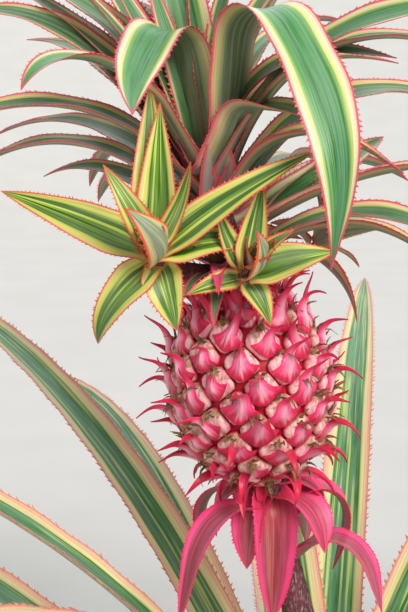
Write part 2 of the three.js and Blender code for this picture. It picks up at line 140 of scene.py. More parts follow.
@dataclass(frozen=True)
class Bezier:
    """A curve through space, in millimetres."""

    points: np.ndarray

    def at(self, shares: np.ndarray) -> np.ndarray:
        """Gives points of the curve.

        Args:
            shares: Where to read it, from 0 to 1.

        Returns:
            One row for each share.
        """
        shares = np.atleast_1d(np.asarray(shares, float))[:, None]
        degree = len(self.points) - 1
        weights = (math.comb(degree, k) * shares**k * (1 - shares) ** (degree - k) for k in range(degree + 1))
        return sum(weight * point for weight, point in zip(weights, self.points, strict=True))

    def heading(self, shares: np.ndarray) -> np.ndarray:
        """Returns the curve's direction at each share."""
        nudge = 1e-4
        return unit(self.at(np.asarray(shares) + nudge) - self.at(np.asarray(shares) - nudge))


# Shapes that are modelled once


class Side(IntEnum):
    """The finish that a face of a blade takes."""

    UPPER = 0
    UNDER = 1
    EDGE = 2


@dataclass(frozen=True)
class Blank:
    """A shape that was modelled once, read as arrays, so that copies of it can be shaped and joined.

    Attributes:
        points: The places of its vertices.
        corners: The vertex at each corner of its faces, face by face.
        sizes: How many corners each face has.
        slots: The finish of each face.
    """

    points: np.ndarray
    corners: np.ndarray
    sizes: np.ndarray
    slots: np.ndarray

    @classmethod
    def cut_from(cls, model: bpy.types.Object, two_sided: bool = False) -> "Blank":
        """Reads a model and removes it.

        Args:
            model: What the mesh tools made.
            two_sided: True for a blade, whose faces above, below and round its rim get their own finishes.

        Returns:
            The model's arrays.
        """
        mesh = model.data
        points = np.empty(3 * len(mesh.vertices))
        corners = np.empty(len(mesh.loops), np.int32)
        sizes = np.array([len(face.vertices) for face in mesh.polygons], np.int32)
        mesh.vertices.foreach_get("co", points)
        mesh.loops.foreach_get("vertex_index", corners)
        points = points.reshape(-1, 3)
        slots = np.zeros(len(sizes), np.int32)
        if two_sided:
            above = np.add.reduceat((points[corners, 2] > 0).astype(int), np.r_[0, np.cumsum(sizes)[:-1]])
            slots[:] = np.where(above == sizes, Side.UPPER, np.where(above == 0, Side.UNDER, Side.EDGE))
        bpy.data.objects.remove(model, do_unlink=True)
        bpy.data.meshes.remove(mesh)
        return cls(points, corners, sizes, slots)


def new_model() -> bpy.types.Object:
    """Names the shape that was just added as the one being modelled, and opens it for editing.

    Returns:
        The object.
    """
    model = bpy.context.object
    model.name = "blank"
    bpy.ops.object.mode_set(mode="EDIT")
    bpy.ops.mesh.select_mode(type="FACE")
    return model


def select_top(model: bpy.types.Object) -> None:
    """Selects only the faces of the model that look up.

    Args:
        model: The shape being modelled.
    """
    bpy.ops.mesh.select_all(action="DESELECT")
    bpy.ops.object.mode_set(mode="OBJECT")
    for face in model.data.polygons:
        face.select = face.normal.z > 0.9
    bpy.ops.object.mode_set(mode="EDIT")


def close_model(model: bpy.types.Object) -> None:
    """Leaves edit mode and applies every modifier of the model.

    Args:
        model: The shape being modelled.
    """
    bpy.ops.object.mode_set(mode="OBJECT")
    for name in [modifier.name for modifier in model.modifiers]:
        bpy.ops.object.modifier_apply(modifier=name)


def blade_blank(columns: int, rows: int) -> Blank:
    """Models a flat strip with two sides and a rim: x across from -1 to 1, y along from 0 to 1, z through it.

    Args:
        columns: Faces across.
        rows: Faces along.

    Returns:
        The strip.
    """
    bpy.ops.object.select_all(action="DESELECT")
    bpy.ops.mesh.primitive_grid_add(x_subdivisions=columns, y_subdivisions=rows, size=2)
    model = new_model()
    bpy.ops.transform.translate(value=(0, 1, 0))
    bpy.ops.transform.resize(value=(1, 0.5, 1), center_override=(0, 0, 0))
    wall = model.modifiers.new("wall", "SOLIDIFY")
    wall.thickness, wall.offset = 0.2, 0.0
    close_model(model)
    return Blank.cut_from(model, two_sided=True)


def thorn_blank() -> Blank:
    """Models a hooked thorn: z out from the margin from 0 to 1, y towards the leaf's tip, x through it.

    Returns:
        The thorn.
    """
    bpy.ops.object.select_all(action="DESELECT")
    bpy.ops.mesh.primitive_cone_add(
        vertices=4, radius1=0.55, radius2=0.3, depth=0.55, location=(0, 0.05, 0.125)
    )
    model = new_model()
    select_top(model)
    bpy.ops.transform.translate(value=(0, 0.16, 0.05))
    bpy.ops.mesh.extrude_region_move(TRANSFORM_OT_translate={"value": (0, 0.5, 0.5)})
    bpy.ops.mesh.merge(type="CENTER")
    bpy.ops.mesh.select_all(action="SELECT")
    bpy.ops.transform.resize(value=(0.4, 1, 1), center_override=(0, 0, 0))
    close_model(model)
    return Blank.cut_from(model)


def rod_blank(sides: int, rings: int) -> Blank:
    """Models a round rod of radius 1 from z 0 to 1, pushed up ring by ring from its foot.

    Args:
        sides: Faces round it.
        rings: Faces along it.

    Returns:
        The rod, closed at both ends.
    """
    bpy.ops.object.select_all(action="DESELECT")
    step = 1 / rings
    bpy.ops.mesh.primitive_cylinder_add(vertices=sides, radius=1, depth=step, location=(0, 0, step / 2))
    model = new_model()
    select_top(model)
    for _ in range(rings - 1):
        bpy.ops.mesh.extrude_region_move(TRANSFORM_OT_translate={"value": (0, 0, step)})
    close_model(model)
    return Blank.cut_from(model)


def cushion_blank(sides: int, insets: Sequence[float]) -> Blank:
    """Models a disc of radius 1 with rings inside it, from which a fruitlet's cushion is domed.

    Args:
        sides: Faces round it.
        insets: The step from each ring to the next one in.

    Returns:
        The disc.
    """
    bpy.ops.object.select_all(action="DESELECT")
    bpy.ops.mesh.primitive_circle_add(vertices=sides, radius=1, fill_type="NGON")
    model = new_model()
    for step in insets:
        bpy.ops.mesh.inset(thickness=step, use_even_offset=False)
    bpy.ops.mesh.poke()
    close_model(model)
    return Blank.cut_from(model)


class Gathering:
    """Shaped copies of blanks that become one piece."""

    def __init__(self) -> None:
        """Starts with nothing in it."""
        self.parts: list[tuple[Blank, np.ndarray, np.ndarray, np.ndarray | None, dict[str, np.ndarray]]] = []

    def add(
        self,
        blank: Blank,
        points: np.ndarray,
        uv: np.ndarray,
        traits: dict[str, float | np.ndarray],
        slot: int | None = None,
    ) -> None:
        """Adds a copy.

        Args:
            blank: What it was shaped from, once for every as many points.
            points: Where its vertices are now, in millimetres.
            uv: Their place on the blade.
            traits: Named values that the finishes read, for each vertex or for all of them.
            slot: The finish of all its faces, or None for the blank's own.
        """
        slots = None if slot is None else np.full(len(blank.sizes), slot, np.int32)
        count = len(points)
        spread = {name: np.broadcast_to(np.asarray(value, float), count) for name, value in traits.items()}
        self.parts.append((blank, points, uv, slots, spread))

    def piece(
        self, name: str, finishes: Sequence[bpy.types.Material], nodes: Sequence[str], slot: str
    ) -> None:
        """Joins the copies into a piece that replaces what it stands for.

        Args:
            name: The piece's name.
            finishes: Its materials, in the order that the faces number them.
            nodes: The CAD nodes that it replaces.
            slot: Not used.
        """
        points, corners, sizes, slots, uv = [], [], [], [], []
        traits: dict[str, list[np.ndarray]] = {key: [] for key in self.parts[0][4]}
        first = 0
        for blank, placed, across, finish, spread in self.parts:
            copies = len(placed) // len(blank.points)
            starts = first + len(blank.points) * np.arange(copies)[:, None]
            points.append(placed)
            corners.append((starts + blank.corners[None, :]).ravel())
            sizes.append(np.tile(blank.sizes, copies))
            slots.append(np.tile(blank.slots if finish is None else finish, copies))
            uv.append(across)
            for key, values in spread.items():
                traits[key].append(values)
            first += len(placed)
        made = [np.concatenate(part) for part in (points, corners, sizes, slots, uv)]
        mesh = bpy.data.meshes.new(name)
        mesh.vertices.add(len(made[0]))
        mesh.vertices.foreach_set("co", (made[0] * MM).ravel())
        mesh.loops.add(len(made[1]))
        mesh.loops.foreach_set("vertex_index", made[1].astype(np.int32))
        mesh.polygons.add(len(made[2]))
        mesh.polygons.foreach_set("loop_start", np.r_[0, np.cumsum(made[2])[:-1]].astype(np.int32))
        mesh.polygons.foreach_set("material_index", made[3].astype(np.int32))
        mesh.uv_layers.new(name=UV_NAME).data.foreach_set("uv", made[4][made[1]].ravel())
        for key, values in traits.items():
            mesh.attributes.new(key, "FLOAT", "POINT").data.foreach_set("value", np.concatenate(values))
        mesh.update(calc_edges=True)
        piece = bpy.data.objects.new(name, mesh)
        bpy.context.scene.collection.objects.link(piece)
        for finish in finishes:
            mesh.materials.append(finish)
        bpy.ops.object.select_all(action="DESELECT")
        piece.select_set(True)
        bpy.context.view_layer.objects.active = piece
        bpy.ops.object.shade_smooth_by_angle(angle=math.radians(SMOOTH_ANGLE))
        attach(piece, BODY)
        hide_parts(*nodes)


# Leaves


class Outline(Enum):
    """How wide a blade is along it: its share at the root, where it is full, and how late it narrows."""

    STRAP = (0.6, 0.14, 3.2)
    LANCE = (0.62, 0.25, 1.9)


@dataclass(frozen=True)
class Thorns:
    """The thorns along a margin.

    Attributes:
        pitch: From one to the next.
        height: How far each stands out.
    """

    pitch: float
    height: float


@dataclass(frozen=True)
class Leaf:
    """A leaf, by the rule of the part's source.

    It leaves its root at a height and radius in the frame of what bears it, starts off at azimuth and rise,
    and turns to fall between two shares of its length.

    Attributes:
        azimuth: The way that it grows.
        root: The height of its root.
        rise: Its slope at the root.
        fall: Its slope at the tip.
        length: Along the blade.
        width: Across it, at its widest.
        radius: From the axis to its root.
        bend_from: The share of its length where it starts to turn.
        bend_to: The share where it has turned.
        sweep: How far its azimuth turns by the tip.
        roll: How far it rolls about its own line by the tip.
        channel: How far its margins rise, as a share of its half width.
        outline: How its width changes.
        age: From 0, fresh, to 1, old.
        seed: Tells its pattern from those of the others.
    """

    azimuth: float
    root: float
    rise: float
    fall: float
    length: float
    width: float
    radius: float = 4.0
    bend_from: float = -0.1
    bend_to: float = 1.1
    sweep: float = 0.0
    roll: float = 0.0
    channel: float = 0.35
    outline: Outline = Outline.STRAP
    age: float = 0.5
    seed: float = 0.0

    @classmethod
    def along(cls, line: Line) -> "Leaf":
        """Returns the leaf of a line of twelve numbers, whose order the crown's tables give."""
        names = "azimuth root rise fall bend_from bend_to length width sweep roll channel age".split()
        return cls(**dict(zip(names, line, strict=True)))

    def half_width(self, shares: np.ndarray) -> np.ndarray:
        """Returns half the blade's width at each share of its length."""
        root, full, power = self.outline.value
        opening = root + (1 - root) * smoothstep(shares, 0.0, full)
        return self.width / 2 * opening * (1 - shares**power)

    def axes(self, shares: np.ndarray) -> tuple[np.ndarray, np.ndarray, np.ndarray]:
        """Gives the blade's own directions.

        Args:
            shares: Where along the blade.

        Returns:
            Along it, across it and out of its upper side, one row for each share.
        """
        up = np.radians(lerp(self.rise, self.fall, smoothstep(shares, self.bend_from, self.bend_to)))
        turn = np.radians(self.azimuth + self.sweep * shares**2)
        flat = np.zeros_like(shares)
        along = np.stack([np.cos(turn) * np.cos(up), np.sin(turn) * np.cos(up), np.sin(up)], axis=1)
        across = np.stack([-np.sin(turn), np.cos(turn), flat], axis=1)
        upper = np.cross(along, across)
        roll = np.radians(self.roll * shares)[:, None]
        cosine, sine = np.cos(roll), np.sin(roll)
        return along, across * cosine + upper * sine, upper * cosine - across * sine

    def spine(self, shares: np.ndarray) -> np.ndarray:
        """Gives points along the middle of the blade.

        Args:
            shares: Where along the blade.

        Returns:
            One row for each share.
        """
        steps = 240
        along, _, _ = self.axes((np.arange(steps) + 0.5) / steps)
        turn = math.radians(self.azimuth)
        start = np.array([self.radius * math.cos(turn), self.radius * math.sin(turn), self.root])
        path = start + np.r_[np.zeros((1, 3)), np.cumsum(along, axis=0)] * (self.length / steps)
        stations = np.linspace(0.0, 1.0, steps + 1)
        return np.stack([np.interp(shares, stations, path[:, axis]) for axis in range(3)], axis=1)


@dataclass(frozen=True)
class BladeStyle:
    """What the leaves of one kind share, apart from their lines.

    Attributes:
        finishes: Their upper side, under side and edge.
        thorns: Those along their margins.
        thick: At the middle of the blade.
        thin: At its margins.
        ripple: How far the margins wave, as a share of the half width.
        clasp: How much deeper the channel is at the root.
    """

    finishes: tuple[bpy.types.Material, ...]
    thorns: Thorns
    thick: float
    thin: float = 0.7
    ripple: float = 0.05
    clasp: float = 0.5


class LeafBench:
    """Shapes leaves from one blade and one thorn."""

    tip = 0.996  # the blade ends here, where it is a hair wide
    ground = 0.3  # a leaf that droops this far lies on the ground
    clasped = 0.16  # the share of its length where a leaf's channel is deeper
    wave_length = 55.0  # of the waves along its margins
    thorned = (0.06, 0.91)  # where the thorns begin, and over how much of its length they run

    def __init__(self, columns: int, rows: int) -> None:
        """Models the blade and the thorn.

        Args:
            columns: Faces across the blade.
            rows: Faces along it.
        """
        self.blade = blade_blank(columns, rows)
        self.thorn = thorn_blank()

    def lift(self, leaf: Leaf, style: BladeStyle, shares: np.ndarray, across: np.ndarray) -> np.ndarray:
        """Says how far the blade's skin stands above its spine.

        Args:
            leaf: The leaf.
            style: Its kind.
            shares: Where along it.
            across: Where across it, from -1 to 1.

        Returns:
            The lift at each place, in millimetres.
        """
        half = leaf.half_width(shares)
        channel = leaf.channel + style.clasp * (1 - smoothstep(shares, 0.0, self.clasped))
        waves = leaf.length / self.wave_length
        wave = np.sin(2 * np.pi * (waves * shares + 0.37 * leaf.seed) + 1.3 * np.sign(across))
        ripple = style.ripple * wave * smoothstep(shares, 0.1, 0.4)
        return half * (channel * np.abs(across) ** 1.5 + ripple * across**2)

    def add(self, gathering: Gathering, leaf: Leaf, style: BladeStyle, place: Place) -> None:
        """Shapes a leaf and adds it.

        Args:
            gathering: The piece that it is for.
            leaf: The leaf.
            style: Its kind.
            place: The frame of what bears it.
        """
        x, y, z = self.blade.points.T
        shares = y * self.tip
        _, across, upper = leaf.axes(shares)
        half = leaf.half_width(shares)
        wall = lerp(style.thick, style.thin, np.abs(x) ** 1.3) * lerp(1.0, 0.55, shares)
        height = self.lift(leaf, style, shares, x) + np.sign(z) * wall / 2
        points = leaf.spine(shares) - across * (x * half)[:, None] + upper * height[:, None]
        uv = np.stack([(x + 1) / 2, shares], axis=1)
        traits = {"seed": leaf.seed, "age": leaf.age, "rim_mm": half * (1 - np.abs(x))}
        placed = points @ place[:3, :3].T + place[:3, 3]
        placed[:, 2] = np.maximum(placed[:, 2], self.ground + 0.5 * (z > 0))
        gathering.add(self.blade, placed, uv, traits)
        self.add_thorns(gathering, leaf, style, place)

    def add_thorns(self, gathering: Gathering, leaf: Leaf, style: BladeStyle, place: Place) -> None:
        """Sets thorns along both margins of a leaf.

        Args:
            gathering: The piece that they are for.
            leaf: The leaf.
            style: Its kind.
            place: The frame of what bears the leaf.
        """
        count = int(0.9 * leaf.length / style.thorns.pitch)
        steps = np.arange(2 * count)
        jitter = np.modf(np.abs(np.sin(steps * 12.9898 + leaf.seed * 5.1) * 43758.5453))[0]
        first, run = self.thorned
        shares = first + run * (steps // 2 + 0.6 * jitter) / count
        side = np.where(steps % 2 == 0, 1.0, -1.0)
        along, across, upper = leaf.axes(shares)
        half = leaf.half_width(shares)
        height = self.lift(leaf, style, shares, side)
        margin = leaf.spine(shares) - across * (side * half)[:, None] + upper * height[:, None]
        out = unit(upper * (0.9 * leaf.channel) - across * side[:, None])
        through = np.cross(along, out)
        taper = 0.45 + 0.55 * np.sin(np.pi * shares) ** 0.7
        size = style.thorns.height * (0.7 + 0.6 * jitter[::-1]) * taper
        thick, forward, stand = self.thorn.points.T
        shaped = (
            margin[:, None, :]
            + (size[:, None] * stand)[:, :, None] * out[:, None, :]
            + (size[:, None] * forward)[:, :, None] * along[:, None, :]
            + (size[:, None] * thick)[:, :, None] * through[:, None, :]
        ).reshape(-1, 3)
        uv = np.stack([np.repeat((side + 1) / 2, len(stand)), np.repeat(shares, len(stand))], axis=1)
        traits = {"seed": leaf.seed, "age": leaf.age, "rim_mm": -np.tile(stand, len(shares))}
        placed = shaped @ place[:3, :3].T + place[:3, 3]
        placed[:, 2] = np.maximum(placed[:, 2], self.ground)
        gathering.add(self.thorn, placed, uv, traits, Side.EDGE)


# Finishes


def linear(colour: Hex) -> tuple[float, float, float, float]:
    """Turns a screen colour to the linear one that shaders work in.

    Args:
        colour: sRGB, as rrggbb.

    Returns:
        Linear red, green and blue, and an alpha of 1.
    """
    channels = [int(colour[i : i + 2], 16) / 255 for i in (0, 2, 4)]
    red, green, blue = ((c / 12.92 if c <= 0.04045 else ((c + 0.055) / 1.055) ** 2.4) for c in channels)
    return red, green, blue, 1.0


def add_node(
    tree: bpy.types.NodeTree,
    kind: str,
    inputs: dict[int | str, object] | None = None,
    stops: Sequence[tuple[float, Hex]] = (),
    output: int | str = 0,
    **settings: object,
) -> bpy.types.NodeSocket | None:
    """Adds a shader node.

    Args:
        tree: Where it goes.
        kind: Its type, without ShaderNode.
        inputs: For each of its inputs that is set, a value or the output that feeds it.
        stops: The places and colours of a colour ramp.
        output: Which of its outputs is wanted.
        settings: Its other properties.

    Returns:
        That output, or None from a node without outputs.
    """
    node = tree.nodes.new("ShaderNode" + kind)
    for name, value in settings.items():
        setattr(node, name, value)
    for key, value in (inputs or {}).items():
        if isinstance(value, bpy.types.NodeSocket):
            tree.links.new(value, node.inputs[key])
        else:
            node.inputs[key].default_value = value
    for index, (place, colour) in enumerate(stops):
        elements = node.color_ramp.elements
        element = elements[index] if index < len(elements) else elements.new(place)
        element.position, element.color = place, linear(colour)
    return node.outputs[output] if node.outputs else None


def empty_tree(owner: bpy.types.Material | bpy.types.World) -> bpy.types.NodeTree:
    """Gives a material or world nodes of its own.

    Args:
        owner: The material or world.

    Returns:
        Its node tree, with nothing in it.
    """
    owner.use_nodes = True
    owner.node_tree.nodes.clear()
    return owner.node_tree


Zones = tuple[tuple[float, Hex], ...]


@dataclass(frozen=True)
class Finish:
    """A finish that becomes a material.

    Attributes:
        name: The material's name.
    """

    name: str

    def shader(self, tree: bpy.types.NodeTree) -> bpy.types.NodeSocket:
        """Adds the nodes of its surface, which each kind of finish does its own way."""
        raise NotImplementedError

    def material(self) -> bpy.types.Material:
        """Builds the finish.

        Returns:
            The material.
        """
        made = bpy.data.materials.new(self.name)
        tree = empty_tree(made)
        add_node(tree, "OutputMaterial", {0: self.shader(tree)})
        return made


@dataclass(frozen=True)
class BladeFinish(Finish):
    """Living leaf skin, striped along the blade, with a waxy coat whose pale patches are partly a painted
    sheen.

    The zones run from the middle of the blade to its margin and their borders wander a little. Veins run all
    along, and a thin coloured rim has the same width everywhere.

    Attributes:
        fresh: The zones of a young leaf.
        aged: The zones of an old one.
        dark: Dark stripes among the middle zone.
        pale: Pale stripes among the middle zone.
        rim: The thin line along the margin.
        root: The blush at the root.
        root_share: How much of the length the blush takes.
        width: A blade's width in millimetres, from which the stripes are sized.
        length: Its length in millimetres.
        stripe: The width of a stripe in millimetres.
        vein: The distance between veins in millimetres.
        rim_width: The width of the rim line in millimetres.
        wander: How far the borders of the zones stray.
        striping: How strongly the stripes show.
        bloom_and_sheen: The colour of the wax, partly a painted sheen.
        bloom_and_sheen_share: How much of the skin the wax and its painted sheen cover.
        roughness: Of the skin.
        sheen: Of the wax at a grazing angle.
    """

    fresh: Zones
    aged: Zones
    dark: Hex
    pale: Hex
    rim: Hex
    root: Hex
    root_share: float
    width: float
    length: float
    stripe: float = 3.0
    vein: float = 1.1
    rim_width: float = 1.3
    wander: float = 0.3
    striping: float = 0.7
    bloom_and_sheen: Hex = "B9CFC4"
    bloom_and_sheen_share: float = 0.25
    roughness: float = 0.42
    sheen: float = 0.12

    def shader(self, tree: bpy.types.NodeTree) -> bpy.types.NodeSocket:
        """Adds the finish's nodes.

        Args:
            tree: Where they go.

        Returns:
            The output that makes the surface.
        """
        uv = add_node(tree, "UVMap", uv_map=UV_NAME)
        place = add_node(tree, "SeparateXYZ", {0: uv}).node
        seed = add_node(tree, "Attribute", output="Fac", attribute_name="seed")
        age = add_node(tree, "Attribute", output="Fac", attribute_name="age")
        rim_mm = add_node(tree, "Attribute", output="Fac", attribute_name="rim_mm")
        shift = add_node(tree, "Math", {0: seed, 1: 7.31}, operation="MULTIPLY")
        middle = add_node(tree, "Math", {0: place.outputs[0], 1: 2.0, 2: -1.0}, operation="MULTIPLY_ADD")
        outward = add_node(tree, "Math", {0: middle}, operation="ABSOLUTE")

        # Borders that stray along the blade, differently on each half of it
        slow = add_node(tree, "CombineXYZ", {0: place.outputs[0], 1: place.outputs[1], 2: shift})
        stretch = add_node(tree, "VectorMath", {0: slow, 1: (1.6, 2.6, 1.0)}, operation="MULTIPLY")
        stray = add_node(tree, "TexNoise", {"Vector": stretch, "Scale": 1.0, "Detail": 1.0})
        centred = add_node(tree, "Math", {0: stray, 1: 0.5}, operation="SUBTRACT")
        zone = add_node(tree, "Math", {0: centred, 1: self.wander, 2: outward}, operation="MULTIPLY_ADD")
        fresh = add_node(tree, "ValToRGB", {0: zone}, stops=self.fresh)
        aged = add_node(tree, "ValToRGB", {0: zone}, stops=self.aged)
        zones = add_node(tree, "Mix", {0: age, UNDER: fresh, OVER: aged}, **MIX)

        # Stripes and veins, drawn out 60 times along the blade
        across = self.width / self.stripe
        along = self.length / self.stripe / 60
        strip = add_node(tree, "VectorMath", {0: slow, 1: (across, along, 1.0)}, operation="MULTIPLY")
        stripes = add_node(tree, "TexNoise", {"Vector": strip, "Scale": 1.0, "Detail": 2.0})
        inner = add_node(
            tree,
            "MapRange",
            {0: zone, 1: 0.66, 2: 0.5, 3: 0.0, 4: self.striping},
            interpolation_type="SMOOTHSTEP",
        )
        darker = add_node(tree, "MapRange", {0: stripes, 1: 0.47, 2: 0.4, 3: 0.0, 4: 1.0}, clamp=True)
        dark = add_node(tree, "Math", {0: darker, 1: inner}, operation="MULTIPLY")
        lighter = add_node(tree, "MapRange", {0: stripes, 1: 0.57, 2: 0.64, 3: 0.0, 4: 1.0}, clamp=True)
        light = add_node(tree, "Math", {0: lighter, 1: inner}, operation="MULTIPLY")
        banded = add_node(tree, "Mix", {0: dark, UNDER: zones, OVER: linear(self.dark)}, **MIX)
        striped = add_node(tree, "Mix", {0: light, UNDER: banded, OVER: linear(self.pale)}, **MIX)
        fine = add_node(
            tree,
            "VectorMath",
            {0: slow, 1: (self.width / self.vein, self.length / self.vein / 90, 1.0)},
            operation="MULTIPLY",
        )
        veins = add_node(tree, "TexNoise", {"Vector": fine, "Scale": 1.0, "Detail": 1.0})
        shade = add_node(tree, "MapRange", {0: veins, 1: 0.3, 2: 0.7, 3: 0.8, 4: 1.16}, clamp=True)
        veined = add_node(tree, "VectorMath", {0: striped, "Scale": shade}, operation="SCALE")

        # Blush at the root, pale wax in patches that are partly a painted sheen, and the rim line
        root = add_node(
            tree,
            "MapRange",
            {0: place.outputs[1], 1: self.root_share, 2: 0.0, 3: 0.0, 4: 0.85},
            interpolation_type="SMOOTHSTEP",
        )
        blushed = add_node(tree, "Mix", {0: root, UNDER: veined, OVER: linear(self.root)}, **MIX)
        patch = add_node(
            tree, "VectorMath", {0: slow, 1: (self.width / 9, self.length / 60, 1)}, operation="MULTIPLY"
        )
        wax = add_node(tree, "TexNoise", {"Vector": patch, "Scale": 1.0, "Detail": 4.0, "Roughness": 0.6})
        cover = add_node(tree, "MapRange", {0: wax, 1: 0.35, 2: 0.75, 3: 0.0, 4: self.bloom_and_sheen_share}, clamp=True)
        waxed_and_sheened = add_node(tree, "Mix", {0: cover, UNDER: blushed, OVER: linear(self.bloom_and_sheen)}, **MIX)
        line = add_node(
            tree,
            "MapRange",
            {0: rim_mm, 1: 1.5 * self.rim_width, 2: 0.55 * self.rim_width, 3: 0.0, 4: 1.0},
            interpolation_type="SMOOTHSTEP",
        )
        colour = add_node(tree, "Mix", {0: line, UNDER: waxed_and_sheened, OVER: linear(self.rim)}, **MIX)

        relief = add_node(tree, "Math", {0: veins, 1: 0.6, 2: stripes}, operation="MULTIPLY_ADD")
        bump = add_node(tree, "Bump", {"Height": relief, "Strength": 0.5, "Distance": 0.6 * MM})
        gloss = add_node(
            tree,
            "MapRange",
            {0: wax, 1: 0.3, 2: 0.7, 3: self.roughness - 0.06, 4: self.roughness + 0.12},
            clamp=True,
        )
        return add_node(
            tree,
            "BsdfPrincipled",
            {
                "Base Color": colour,
                "Roughness": gloss,
                "Normal": bump,
                "IOR": 1.45,
                "Sheen Weight": self.sheen,
                "Sheen Roughness": 0.4,
                "Sheen Tint": linear("DCEBF0"),
            },
        )


@dataclass(frozen=True)
class EdgeFinish(Finish):
    """Horny leaf margin and thorns, smooth and dense, paler or darker at their points.

    Attributes:
        foot: Where a thorn leaves the margin.
        point: The thorn's point.
    """

    foot: Hex
    point: Hex

    def shader(self, tree: bpy.types.NodeTree) -> bpy.types.NodeSocket:
        """Adds the finish's nodes.

        Args:
            tree: Where they go.

        Returns:
            The output that makes the surface.
        """
        rim_mm = add_node(tree, "Attribute", output="Fac", attribute_name="rim_mm")
        out = add_node(tree, "MapRange", {0: rim_mm, 1: 0.0, 2: -1.0, 3: 0.0, 4: 1.0}, clamp=True)
        place = add_node(tree, "TexCoord", output="Object")
        # Patches about 5 mm across, where the colour is stronger
        patch = add_node(tree, "TexNoise", {"Vector": place, "Scale": 0.2 / MM, "Detail": 2.0})
        uneven = add_node(tree, "MapRange", {0: patch, 1: 0.3, 2: 0.7, 3: 0.78, 4: 1.15}, clamp=True)
        hue = add_node(tree, "Mix", {0: out, UNDER: linear(self.foot), OVER: linear(self.point)}, **MIX)
        colour = add_node(tree, "VectorMath", {0: hue, "Scale": uneven}, operation="SCALE")
        bump = add_node(tree, "Bump", {"Height": patch, "Strength": 0.3, "Distance": 0.3 * MM})
        return add_node(
            tree,
            "BsdfPrincipled",
            {"Base Color": colour, "Roughness": 0.4, "IOR": 1.5, "Normal": bump},
        )


@dataclass(frozen=True)
class BarkFinish(Finish):
    """Dull plant skin with scurf: a stem's leaf bases or a stalk's pale scales.

    Attributes:
        ground: Its main colour.
        shadow: In its hollows.
        scurf: The pale scales.
        scurfed: How much the scales cover.
        grain: The width of a scale in millimetres.
        stretch: How much longer than wide a scale is.
    """

    ground: Hex
    shadow: Hex
    scurf: Hex
    scurfed: float
    grain: float
    stretch: float

    def shader(self, tree: bpy.types.NodeTree) -> bpy.types.NodeSocket:
        """Adds the finish's nodes.

        Args:
            tree: Where they go.

        Returns:
            The output that makes the surface.
        """
        place = add_node(tree, "TexCoord", output="Object")
        fine = add_node(tree, "Mapping", {"Vector": place, "Scale": (1 / MM, 1 / MM, 1 / MM / self.stretch)})
        scales = add_node(
            tree,
            "TexNoise",
            {"Vector": fine, "Scale": 1 / self.grain, "Detail": 5.0, "Roughness": 0.65},
        )
        broad = add_node(tree, "TexNoise", {"Vector": fine, "Scale": 0.12 / self.grain, "Detail": 2.0})
        dark = add_node(tree, "MapRange", {0: broad, 1: 0.35, 2: 0.65, 3: 0.0, 4: 1.0}, clamp=True)
        base = add_node(tree, "Mix", {0: dark, UNDER: linear(self.ground), OVER: linear(self.shadow)}, **MIX)
        cover = add_node(tree, "MapRange", {0: scales, 1: 0.5, 2: 0.68, 3: 0.0, 4: self.scurfed}, clamp=True)
        colour = add_node(tree, "Mix", {0: cover, UNDER: base, OVER: linear(self.scurf)}, **MIX)
        bump = add_node(tree, "Bump", {"Height": scales, "Strength": 0.7, "Distance": 0.8 * MM})
        return add_node(
            tree,
            "BsdfPrincipled",
            {"Base Color": colour, "Roughness": 0.78, "IOR": 1.45, "Normal": bump},
        )


